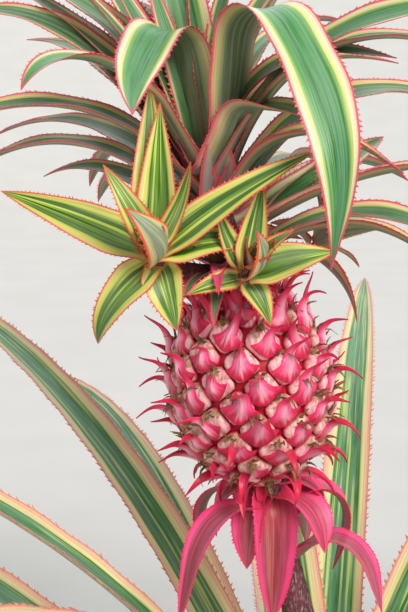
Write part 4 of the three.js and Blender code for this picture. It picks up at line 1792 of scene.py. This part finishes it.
    def add_bract(self, gathering: Gathering, blank: Blank, index: int) -> None:
        """Adds the bract under a fruitlet.

        Args:
            gathering: The piece that it is for.
            blank: A flat strip.
            index: The fruitlet.
        """
        seats = self.seats
        share = seats.heights[index] / self.height
        left, right, below = self.cell(index, np.array([np.pi, 0.0, -np.pi / 2]))
        turn, arc = seats.turns[index : index + 1], seats.arcs[index : index + 1] - 0.86 * below
        point, out, up = (v[0] for v in self.skin(turn, arc))
        high = float(smoothstep(share, 0.62, 0.95))
        low = float(smoothstep(share, 0.34, 0.12))
        up = unit(up + 0.5 * high * UP)
        side = np.cross(up, out)
        out = np.cross(side, up)
        turned = math.radians(20 * wobble(index, 11))
        cosine, sine = math.cos(turned), math.sin(turned)
        up, side = up * cosine + side * sine, side * cosine - up * sine
        length = lerp(38, 42, share) * (1 + 0.24 * wobble(index, 2)) * (1 - 0.1 * high)
        slopes = np.array(self.middle_slopes) * (1 - high - low) + high * np.array(self.high_slopes)
        slopes = slopes + low * np.array(self.low_slopes)
        slopes = slopes + np.array([0, 0, 2, 8, 18, 28, 40, 60]) * wobble(index, 1)
        x, y, z = blank.points.T
        y = y * 0.998
        e, path_out, path_up = self.bend(slopes, length, y)
        outline = np.array(self.bract_outline)
        widest = 0.49 * (left + right) * (1 + 0.2 * wobble(index, 17))
        half = widest * np.interp(y, outline[:, 0], outline[:, 1])
        lateral = x * half
        skew = 12.0 * wobble(index, 4) * y**2.4
        cup = lerp(0.34, 0.6, smoothstep(y, 0.3, 0.8))
        wall = lerp(1.6, 0.6, np.abs(x)) * lerp(1.0, 0.6, y)
        ridge = 2.6 * (1 - np.abs(x)) ** 1.4 * smoothstep(y, 0.06, 0.3) * smoothstep(y, 0.75, 0.45)
        height = ridge - cup * half * np.abs(x) ** 1.6 + np.sign(z) * wall / 2
        climb = 0.42 * below * np.abs(x) ** 1.6 * (1 - smoothstep(y, 0.0, 0.5))
        points = (
            point
            - out * 1.4
            + side * (lateral + skew)[:, None]
            + out * (path_out + np.sin(e) * height)[:, None]
            + up * (path_up - np.cos(e) * height + climb)[:, None]
        )
        points = self.clear_of_cushion(index, points, 0.3 + ridge + 0.5 * np.sign(z) * wall)
        uv = np.stack([(x + 1) / 2, y], axis=1)
        self.add(gathering, blank, points, uv, {"seed": float(index)})

    def bend(self, slopes: Sequence[float], length: float, at: np.ndarray) -> tuple[np.ndarray, ...]:
        """Follows a bract from its base.

        Args:
            slopes: Its slope at each station, in degrees.
            length: Its length.
            at: Where along it, from 0 to 1.

        Returns:
            Its slope, in radians, and how far out and how far up it has come, at each place.
        """
        steps = 60
        marks = np.linspace(0.0, 1.0, steps + 1)
        slope = np.radians(np.interp(marks, self.stations, slopes))
        middles = (slope[1:] + slope[:-1]) / 2
        runs = (np.r_[0.0, np.cumsum(part(middles))] * length / steps for part in (np.cos, np.sin))
        return np.interp(at, marks, slope), *(np.interp(at, marks, run) for run in runs)

    def add_tuft_bract(self, gathering: Gathering, blank: Blank, index: int) -> None:
        """Adds one of the narrow bracts that stand round the crown's foot and curl out.

        Args:
            gathering: The piece that it is for.
            blank: A flat strip.
            index: Which of them.
        """
        turn = np.radians([index * GOLDEN_ANGLE + 12 * wobble(index, 21)])
        arc = self.arcs[-1] - lerp(22, 42, index / (self.tuft - 1))
        point = self.skin(turn, np.array([arc]))[0][0]
        out = np.array([math.cos(turn[0]), math.sin(turn[0]), 0.0])
        x, y, z = blank.points.T
        slopes = np.array(self.tuft_slopes) + np.array([0, 0, 4, 8, 14, 20, 26, 34]) * wobble(index, 22)
        slope, path_out, path_up = self.bend(slopes, 38 + 8 * wobble(index, 23), y)
        half = (3.9 + 0.9 * wobble(index, 24)) * (1 - y**2.0) * lerp(0.75, 1.0, smoothstep(y, 0.0, 0.3)) + 0.1
        lift = 0.5 * half * np.abs(x) ** 1.5 + np.sign(z) * lerp(0.6, 0.35, y)
        points = (
            point
            + np.cross(UP, out) * (x * half + 7 * wobble(index, 25) * y**2)[:, None]
            + out * (path_out - np.sin(slope) * lift - 1.0)[:, None]
            + UP * (path_up + np.cos(slope) * lift - 2.0)[:, None]
        )
        uv = np.stack([(x + 1) / 2, 0.3 + 0.7 * y], axis=1)
        self.add(gathering, blank, points, uv, {"seed": 200.0 + index})

    def clear_of_cushion(self, index: int, points: np.ndarray, gap: np.ndarray) -> np.ndarray:
        """Pushes a bract's points out until they stand clear of the fruitlet that it hoods.

        Args:
            index: The fruitlet.
            points: The bract's points in the fruit's frame.
            gap: How far each has to be above the cushion.

        Returns:
            The points.
        """
        seats = self.seats
        turns = np.arctan2(points[:, 1], points[:, 0])
        arcs = np.interp(points[:, 2], self.levels, self.arcs)
        base, out, _ = self.skin(turns, arcs)
        height = np.sum((points - base) * out, axis=1)
        radius = self.girth(index)
        across = radius * ((turns - seats.turns[index] + np.pi) % (2 * np.pi) - np.pi)
        up = arcs - seats.arcs[index]
        angle = np.arctan2(up, across)
        share = np.hypot(across, up) / self.cell(index, angle)
        inside = 1 - smoothstep(share, 1.0, 1.25)
        wanted = self.dome(index, np.minimum(share, 0.9), angle) * inside + gap - 2.0 * (1 - inside)
        short = wanted - height
        # Eases in over half a millimetre, so that the bract shows no crease where it leaves the cushion
        push = 0.5 * np.logaddexp(0.0, np.clip(short / 0.5, -30.0, 30.0))
        return points + out * push[:, None]

    def add_scraps(self, gathering: Gathering, blank: Blank, index: int) -> None:
        """Adds the scraps of a fruitlet's dried flower.

        Args:
            gathering: The piece that they are for.
            blank: A flat strip.
            index: The fruitlet.
        """
        seats = self.seats
        above = float(self.cell(index, np.array([np.pi / 2]))[0])
        x, y, z = blank.points.T
        for scrap in range(3):
            number = 3 * index + scrap
            turn = seats.turns[index : index + 1] + (scrap - 1) * 0.045 + 0.02 * wobble(number, 6)
            arc = seats.arcs[index : index + 1] + above * (0.5 + 0.2 * wobble(number, 7))
            point, out, up = (v[0] for v in self.skin(turn, arc))
            lean = 0.5 * wobble(number, 8)
            side = unit(np.cross(up, out) + lean * up)
            length = 11.0 + 4.0 * wobble(number, 9)
            slope = np.radians(lerp(70, 20 + 50 * wobble(number, 10), y))
            half = 2.4 * (1 - y**1.6) + 0.08
            lift = np.sign(z) * 0.22 - 0.6 * half * np.abs(x)
            points = (
                point
                + out * (self.swell * 0.62 + length * y * np.cos(slope) + np.sin(slope) * lift)[:, None]
                + up * (length * y * np.sin(slope) - np.cos(slope) * lift)[:, None]
                + side * (x * half)[:, None]
            )
            uv = np.stack([(x + 1) / 2, y], axis=1)
            self.add(gathering, blank, points, uv, {"seed": float(number)})

    def build(self) -> None:
        """Models the fruit and dresses it."""
        flesh, bracts, scraps = Gathering(), Gathering(), Gathering()
        cushion = cushion_blank(sides=20, insets=(0.07, 0.13, 0.2, 0.25))
        strip, shred = blade_blank(columns=8, rows=18), blade_blank(columns=2, rows=4)
        self.add_core(flesh)
        for index in range(self.fruitlets):
            self.add_cushion(flesh, cushion, index)
            self.add_bract(bracts, strip, index)
            self.add_scraps(scraps, shred, index)
        for index in range(self.tuft):
            self.add_tuft_bract(bracts, strip, index)
        outer, inner = BRACT_OUTER.material(), BRACT_INNER.material()
        flesh.piece("fruit_fruitlets", [FRUITLET_SKIN.material()], ["fruit"], "fruit_skin")
        bracts.piece("fruit_bracts", [outer, inner, outer], ["fruit"], "fruit_skin")
        dried = DRIED_FLOWER.material()
        scraps.piece("fruit_dried_flowers", [dried, dried, dried], ["fruit"], "fruit_skin")


@dataclass
class Crown:
    """The leafy crown on the fruit: its short stem, the long leaves, and the small ones inside and below."""

    fruit: Fruit
    bench: LeafBench
    lean: float = 14.0
    height: float = 96.0
    bare_front: float = 0.3
    clearance: float = 26.0
    foot_count: int = 8
    heart_count: int = 10
    heart_start: float = 75.0
    filling: tuple[float, ...] = (40, 118, 82, 140, 52, 100)  # azimuths of leaves that fill the back
    # The numbers in ring, front and between come from a separate least-squares program, which fitted them to
    # margins read off the photograph by eye. The ring's leaves at 62 and 115 were set one by one.
    # azimuth, root, rise, fall, bend from, bend to, length, width, sweep, roll, channel, age
    ring: tuple[Line, ...] = (
        (345.6, 17.8, 28.3, -72.1, -0.06, 1.06, 234, 33.7, -2.2, 18.6, 0.36, 0.75),
        (62, 27, 38, -38, -0.1, 1.1, 262, 33, 0, 0, 0.35, 0.8),
        (170, 34.9, 64.3, -24.4, 0.02, 1.04, 243, 32.3, -4.7, -7.9, 0.35, 0.9),
        (115, 42, 46, -30, -0.1, 1.1, 280, 33, 0, 0, 0.35, 0.7),
        (23.6, 49.6, 48.5, -38.7, -0.09, 1.07, 264, 35.2, 7.4, 40.9, 0.35, 0.9),
        (178, 57, 82.1, -21.8, -0.19, 1, 284, 31, 30.7, -29.6, 0.37, 0.9),
        (4, 61.5, 58.5, -48.6, 0.03, 1.07, 263, 34.7, -35, 11.1, 0.35, 0.85),
        (160.8, 63, 70.6, -2.2, 0.15, 1.16, 268, 34, -23.9, -23.6, 0.34, 0.9),
        (346.5, 66.5, 66.1, -13.2, -0.14, 0.95, 277, 35.6, -1.8, 44.9, 0.35, 0.3),
    )
    front: tuple[Line, ...] = (
        (330, 78.8, 47.7, -10, 0.43, 0.62, 119, 52, -45.6, -11.4, 0.34, 0.6),
        (194, 74, 73.9, -78.9, 0.2, 1.41, 192, 42, 45, -21.7, 0.36, 0.25),
        (341, 64, 67.7, -62.1, 0.32, 0.52, 338, 53.5, -140, -12.8, 0.18, 0),
        (216.2, 68.1, 94.9, -29.1, 0.43, 0.63, 228, 54, 55.5, -29.7, 0.26, 0.1),
        (74.5, 86.6, 72, 6, 0.44, 0.85, 260, 44, 35.2, 3.9, 0.28, 0.5),
    )
    # More leaves that show between those, and have no solid of their own
    between: tuple[Line, ...] = (
        (359.3, 15.0, 30.3, -67.6, -0.10, 1.01, 200, 29.9, -0.2, 0.0, 0.40, 0.8),
        (153.0, 25.4, 56.0, -18.7, 0.11, 1.22, 175, 27.6, -11.4, -12.3, 0.35, 0.85),
        (359.0, 35.0, 23.6, -21.4, -0.15, 1.08, 230, 30.0, 1.1, -6.2, 0.40, 0.8),
        (30.6, 37.0, 16.8, 6.6, -0.11, 1.11, 173, 35.6, 20.1, 45.0, 0.34, 0.2),
        (347.8, 43.6, 66.0, -45.0, 0.03, 0.90, 170, 32.0, 10.0, 5.0, 0.42, 0.95),
        (24.5, 53.5, 71.2, -23.0, -0.05, 1.03, 213, 31.2, 0.5, 18.6, 0.36, 0.75),
        (359.2, 62.2, 75.0, -24.1, 0.05, 0.97, 194, 27.5, 0.8, 35.3, 0.31, 0.95),
        (145.0, 66.6, 86.0, 18.0, -0.03, 1.11, 250, 34.6, -3.2, -9.6, 0.35, 0.85),
    )

    # Small coloured leaves between the front slips
    foot_front: tuple[Line, ...] = (
        (226, 16, 50, -10, -0.1, 1.1, 70, 17, 0, 0, 0.35, 0.4),
        (240, 12, 34, -30, -0.1, 1.1, 74, 18, 0, 0, 0.35, 0.9),
        (252, 18, 45, 10, -0.1, 1.1, 72, 16, 8, 0, 0.35, 0.3),
        (256, 8, 24, -50, -0.1, 1.1, 72, 18, -8, 0, 0.35, 0.95),
        (268, 22, 52, 20, -0.1, 1.1, 68, 15, 0, 0, 0.35, 0.5),
        (283, 14, 40, 0, -0.1, 1.1, 62, 15, 8, 0, 0.35, 0.9),
        (300, 10, 25, -25, -0.1, 1.1, 58, 15, 0, 0, 0.35, 0.4),
    )

    def azimuths(self, count: int, start: float, kept: Sequence[float] = ()) -> list[float]:
        """Picks azimuths that follow the spiral, but leave the light side and any azimuth kept free.

        Args:
            count: How many.
            start: The first one.
            kept: Azimuths of other leaves.

        Returns:
            The azimuths.
        """
        found: list[float] = []
        index = 0
        while len(found) < count:
            azimuth = (start + index * GOLDEN_ANGLE) % 360
            index += 1
            free = all(abs(azimuth - other) > self.clearance for other in kept)
            if free and facing(azimuth) < self.bare_front:
                found.append(azimuth)
        return found

    def foot_leaves(self) -> list[Leaf]:
        """Returns the short coloured leaves under the slips."""
        leaves = []
        for index in range(self.foot_count):
            share = index / (self.foot_count - 1)
            leaves.append(
                Leaf(
                    azimuth=20 + index * GOLDEN_ANGLE,
                    root=lerp(3, 17, share),
                    rise=lerp(18, 34, share),
                    fall=lerp(-10, -34, share),
                    length=lerp(44, 78, share),
                    width=17,
                    outline=Outline.LANCE,
                    age=0.7,
                )
            )
        return leaves

    def front_leaves(self) -> list[Leaf]:
        """Returns the small leaves between the front slips."""
        return [replace(Leaf.along(line), outline=Outline.LANCE) for line in self.foot_front]

    def heart(self) -> list[Leaf]:
        """Returns the steep inner leaves."""
        kept = [line[0] for line in self.front]
        leaves = []
        for index, azimuth in enumerate(self.azimuths(self.heart_count, self.heart_start, kept)):
            share = index / (self.heart_count - 1)
            leaves.append(
                Leaf(
                    azimuth=azimuth,
                    root=lerp(68, 94, share),
                    rise=lerp(66, 88, share),
                    fall=lerp(8, 78, share),
                    length=lerp(250, 120, share**2),
                    width=lerp(30, 16, share**2),
                    age=0.7 - 0.4 * share,
                )
            )
        return leaves

    def middle(self) -> list[Leaf]:
        """Returns leaves between the ring and the heart, which make the crown full."""
        leaves = [Leaf.along(line) for line in self.between]
        for index, turn in enumerate(self.filling):
            share = index / (len(self.filling) - 1)
            leaves.append(
                Leaf(
                    azimuth=turn,
                    root=lerp(30, 80, share),
                    rise=lerp(38, 72, share) + 6 * wobble(index, 12),
                    fall=lerp(-38, -2, share) + 12 * wobble(index, 13),
                    length=lerp(225, 250, share) * (1 + 0.08 * wobble(index, 14)),
                    width=lerp(31, 27, share),
                    sweep=8 * wobble(index, 15),
                    age=float(np.clip(0.75 + 0.25 * wobble(index, 16), 0, 1)),
                )
            )
        return leaves

    def build(self) -> None:
        """Models the crown and dresses it."""
        axis = leaning(self.lean)
        top = self.fruit.top
        place = frame_at(top, axis)
        knee = top + 0.3 * self.height * self.fruit.axis
        curve = Bezier(np.array([top - 2 * self.fruit.axis, knee, top + self.height * axis]))
        shares = np.linspace(0.0, 1.0, 12)
        radii = lerp(13, 6, shares**2) + 6 * (1 - smoothstep(shares, 0.0, 0.35))
        stem = Gathering()
        rod = Rod(curve, tuple(zip(shares, radii, strict=True)), relief=0.3)
        rod.add(stem, rod_blank(sides=24, rings=30))
        stem.piece("crown_stem", [YOUNG_STALK_SKIN.material()], ["crown_heart"], "crown_blade")

        style = BladeStyle(CROWN_SKINS.materials(), Thorns(4.0, 2.3), thick=1.7, ripple=0.05, clasp=0.5)
        coloured = BladeStyle(COLLAR_SKINS.materials(), Thorns(3.0, 1.6), thick=1.2, ripple=0.06, clasp=0.4)
        small = BladeStyle(CROWN_SKINS.materials(), Thorns(3.0, 1.4), thick=1.2, ripple=0.06, clasp=0.4)
        outer = [f"crown_leaf_{number:02d}" for number in range(1, 15)]
        long_leaves = [Leaf.along(line) for line in self.ring + self.front]
        named = [(f"{node}_blade", node, leaf, style) for node, leaf in zip(outer, long_leaves, strict=True)]
        for prefix, leaves, kind in (
            ("crown_heart_leaf", self.heart(), style),
            ("crown_middle_leaf", self.middle(), style),
            ("crown_foot_leaf", self.foot_leaves(), coloured),
            ("crown_front_leaf", self.front_leaves(), small),
        ):
            named += [(f"{prefix}_{i + 1:02d}", "crown_heart", leaf, kind) for i, leaf in enumerate(leaves)]
        for number, (name, node, leaf, kind) in enumerate(named):
            gathering = Gathering()
            self.bench.add(gathering, replace(leaf, seed=60.5 + number), kind, place)
            gathering.piece(name, kind.finishes, [node], "crown_blade")


@dataclass
class Slip:
    """A small leafy offset on its own short stalk, at the foot of the crown.

    Attributes:
        name: Its node.
        at: Its middle, from the fruit's top.
        axis: The way that it looks.
        lines: Its leaves as azimuth, root, rise, fall, length, width and age, or nothing for an even spiral.
        reach: The length of the longest leaf of an even spiral.
        first_seed: Tells its leaves' patterns from those of the other slips.
    """

    name: str
    at: tuple[float, float, float]
    axis: tuple[float, float, float]
    lines: tuple[tuple[float, ...], ...] = ()
    reach: float = 0.0
    first_seed: float = 0.0

    spiral = 7  # leaves of an even spiral
    hearts = 6  # small steep leaves that close the heart

    def leaves(self) -> list[Leaf]:
        """Returns the slip's leaves, lowest first."""
        lines = self.lines or [
            (
                i * GOLDEN_ANGLE,
                3.0 * i,
                lerp(14, 70, i / (self.spiral - 1)),
                lerp(-34, 50, i / (self.spiral - 1)),
                self.reach * lerp(1, 0.62, i / (self.spiral - 1)),
                lerp(26, 15, i / (self.spiral - 1)),
                0.8,
            )
            for i in range(self.spiral)
        ]
        heart = [
            (
                20 + i * GOLDEN_ANGLE,
                11.0 + 1.6 * i,
                lerp(56, 84, i / (self.hearts - 1)),
                lerp(96, 60, i / (self.hearts - 1)),
                lerp(36, 20, i / (self.hearts - 1)),
                lerp(15, 9, i / (self.hearts - 1)),
                1.0,
            )
            for i in range(self.hearts)
        ]
        return [
            Leaf(
                azimuth=azimuth,
                root=root,
                rise=rise,
                fall=fall,
                length=length,
                width=width,
                radius=2.0,
                outline=Outline.LANCE,
                age=age,
                seed=self.first_seed + number,
            )
            for number, (azimuth, root, rise, fall, length, width, age) in enumerate([*lines, *heart])
        ]

    def build(self, fruit: Fruit, bench: LeafBench, style: BladeStyle, skin: bpy.types.Material) -> None:
        """Models the slip and dresses it.

        Args:
            fruit: What it grows on.
            bench: Shapes its leaves.
            style: Their kind.
            skin: The finish of its stalk.
        """
        middle = fruit.top + np.array(self.at)
        axis = unit(np.array(self.axis))
        root = fruit.top + fruit.axis * self.at[2] / 2
        curve = Bezier(np.array([root, middle - 20 * axis, middle + 12 * axis]))
        shares = np.linspace(0.0, 1.0, 12)
        radii = lerp(6, 6.5, shares) * (1 - 0.8 * shares**6)
        stalk = Gathering()
        rod = Rod(curve, tuple(zip(shares, radii, strict=True)), relief=0.15)
        rod.add(stalk, rod_blank(sides=16, rings=20))
        stalk.piece(f"{self.name}_stalk", [skin], [self.name], "slip_blade")
        for number, leaf in enumerate(self.leaves()):
            gathering = Gathering()
            bench.add(gathering, leaf, style, frame_at(middle, axis))
            gathering.piece(f"{self.name}_leaf_{number + 1:02d}", style.finishes, [self.name], "slip_blade")


# The leaves of the two front slips were fitted like the crown's, and then rounded or moved a little
SLIPS = (
    Slip(
        "slip_left",
        (-54, -47, 31),
        (-0.12, -0.8, 0.58),
        (
            (222, 0, 14, -76, 80, 30, 0.35),
            (284, 0, 5, -50, 48, 30, 0.3),
            (90, 6, 24, 16, 116, 34, 0.7),
            (150, 12, -2, -15, 132, 34, 0.25),
            (15, 12, 12, -62, 71, 33, 0),
            (29, 10, 26, -8, 128, 27, 0.35),
            (85, 9, 24, 27, 100, 31, 0.1),
            (53, 14, 20, 70, 70, 16, 0.3),
            (122, 20, 66, 4, 66, 21, 0.6),
            (334, 6, 58, 148, 72, 32, 0.5),
        ),
        first_seed=110.5,
    ),
    Slip(
        "slip_right",
        (3, -51, 21),
        (0.22, -0.72, 0.66),
        (
            (306, 0, 6, -40, 36, 22, 0.5),
            (200, 0, 6, -30, 40, 18, 0.5),
            (20, 2, 26, -10, 66, 32, 0),
            (330, 4, 58, 140, 54, 28, 0.5),
            (85, 6, 28, 30, 63, 23, 0.1),
            (128, 6, 16, 50, 48, 20, 0.2),
            (26, 9, 88, 32, 48, 17, 0.8),
        ),
        first_seed=130.5,
    ),
    Slip("slip_back_right", (52, 22, 26), (0.75, 0.3, 0.62), reach=62, first_seed=150.5),
    Slip("slip_back_left", (-22, 56, 26), (-0.25, 0.78, 0.6), reach=74, first_seed=160.5),
)


@dataclass(frozen=True)
class Softlight:
    """A broad studio light, so far away that it lights the whole floor evenly.

    Attributes:
        name: The light's name.
        azimuth: Where it stands.
        elevation: How high it stands.
        spread: How wide it looks from the plant, which softens its shadows.
        strength: In watts on a square metre.
        colour: Its light.
    """

    name: str
    azimuth: float
    elevation: float
    spread: float
    strength: float
    colour: Hex


@dataclass
class Studio:
    """Pale floor that curves up far away, soft lights and the camera."""

    lights: tuple[Softlight, ...] = (
        Softlight("key_light", 300.0, 40.0, 30.0, 2.7, "FFFAF2"),
        Softlight("back_light", 80.0, 44.0, 50.0, 1.0, "F4F8FF"),
    )
    sky_strength: float = 0.46
    camera_place: tuple[float, float, float] = (-0.09032, -0.87336, 0.74116)
    camera_tilt: float = 78.0
    lens: float = 73.53
    bowl_radius: float = 20.0
    bowl_lift: float = 19.6
    rim_height: float = 3.0

    def build_floor(self) -> None:
        """Lays a pale floor, flat round the plant, that rises gently to a rim: matt painted plaster."""
        bpy.ops.object.select_all(action="DESELECT")
        bpy.ops.mesh.primitive_uv_sphere_add(
            segments=96, ring_count=96, radius=self.bowl_radius, location=(0, 0, self.bowl_lift)
        )
        floor = new_model()
        bpy.ops.mesh.select_all(action="SELECT")
        level = {"plane_no": (0, 0, 1)}
        bpy.ops.mesh.bisect(plane_co=(0, 0, 0), clear_inner=True, use_fill=True, **level)
        bpy.ops.mesh.select_all(action="SELECT")
        bpy.ops.mesh.bisect(plane_co=(0, 0, self.rim_height), clear_outer=True, **level)
        bpy.ops.mesh.select_all(action="SELECT")
        bpy.ops.mesh.flip_normals()
        close_model(floor)
        floor.name = "studio_floor"
        bpy.ops.object.transform_apply(location=True)
        bpy.ops.object.shade_smooth()
        made = bpy.data.materials.new("painted_plaster_pale")
        tree = empty_tree(made)
        place = add_node(tree, "TexCoord", output="Object")
        mottle = add_node(tree, "TexNoise", {"Vector": place, "Scale": 6.0, "Detail": 3.0})
        tone = add_node(tree, "ValToRGB", {0: mottle}, stops=((0.3, "CFCECB"), (0.7, "D4D3D0")))
        plaster = add_node(tree, "BsdfPrincipled", {"Base Color": tone, "Roughness": 0.9})
        add_node(tree, "OutputMaterial", {0: plaster})
        floor.data.materials.append(made)

    def build_lights(self) -> None:
        """Sets up the lights under an even pale sky."""
        for light in self.lights:
            lamp = bpy.data.lights.new(light.name, "SUN")
            lamp.angle, lamp.energy = math.radians(light.spread), light.strength
            lamp.color = linear(light.colour)[:3]
            hung = bpy.data.objects.new(light.name, lamp)
            hung.rotation_euler = (math.radians(90 - light.elevation), 0.0, math.radians(90 + light.azimuth))
            bpy.context.scene.collection.objects.link(hung)
        world = bpy.data.worlds.new("pale_sky")
        tree = empty_tree(world)
        sky = add_node(tree, "Background", {"Color": linear("EEF2F6"), "Strength": self.sky_strength})
        add_node(tree, "OutputWorld", {0: sky})
        bpy.context.scene.world = world
        # The plain transform shows each finish in the colours that it is given
        bpy.context.scene.view_settings.view_transform = "Standard"

    def build_camera(self) -> None:
        """Sets the camera at the photograph's angle."""
        camera = bpy.data.cameras.new("photo_camera")
        camera.lens, camera.sensor_width = self.lens, 36.0
        held = bpy.data.objects.new("photo_camera", camera)
        held.location = self.camera_place
        held.rotation_euler = (math.radians(self.camera_tilt), 0.0, 0.0)
        bpy.context.scene.collection.objects.link(held)
        bpy.context.scene.camera = held


def main() -> None:
    """Builds the plant and its studio, and reports each sub-assembly."""
    logging.basicConfig(level=logging.INFO, format="%(message)s")
    studio = Studio()
    studio.build_floor()
    studio.build_lights()
    studio.build_camera()
    log.info("studio ready")

    long_bench, short_bench = LeafBench(columns=12, rows=64), LeafBench(columns=10, rows=36)
    stem, fruit = Stem(), Fruit()
    stalk = FruitStalk(stem, fruit.foot, fruit.axis)
    for part in (
        stem,
        stalk,
        Rosette(stem, long_bench),
        Collar(stalk, short_bench),
        fruit,
        Crown(fruit, long_bench),
    ):
        part.build()
        log.info("%s built", type(part).__name__)
    style = BladeStyle(SLIP_SKINS.materials(), Thorns(3.2, 1.6), thick=1.3, ripple=0.05, clasp=0.35)
    skin = YOUNG_STALK_SKIN.material()
    for slip in SLIPS:
        slip.build(fruit, short_bench, style, skin)
        log.info("%s built", slip.name)


if __name__ == "__main__":
    main()
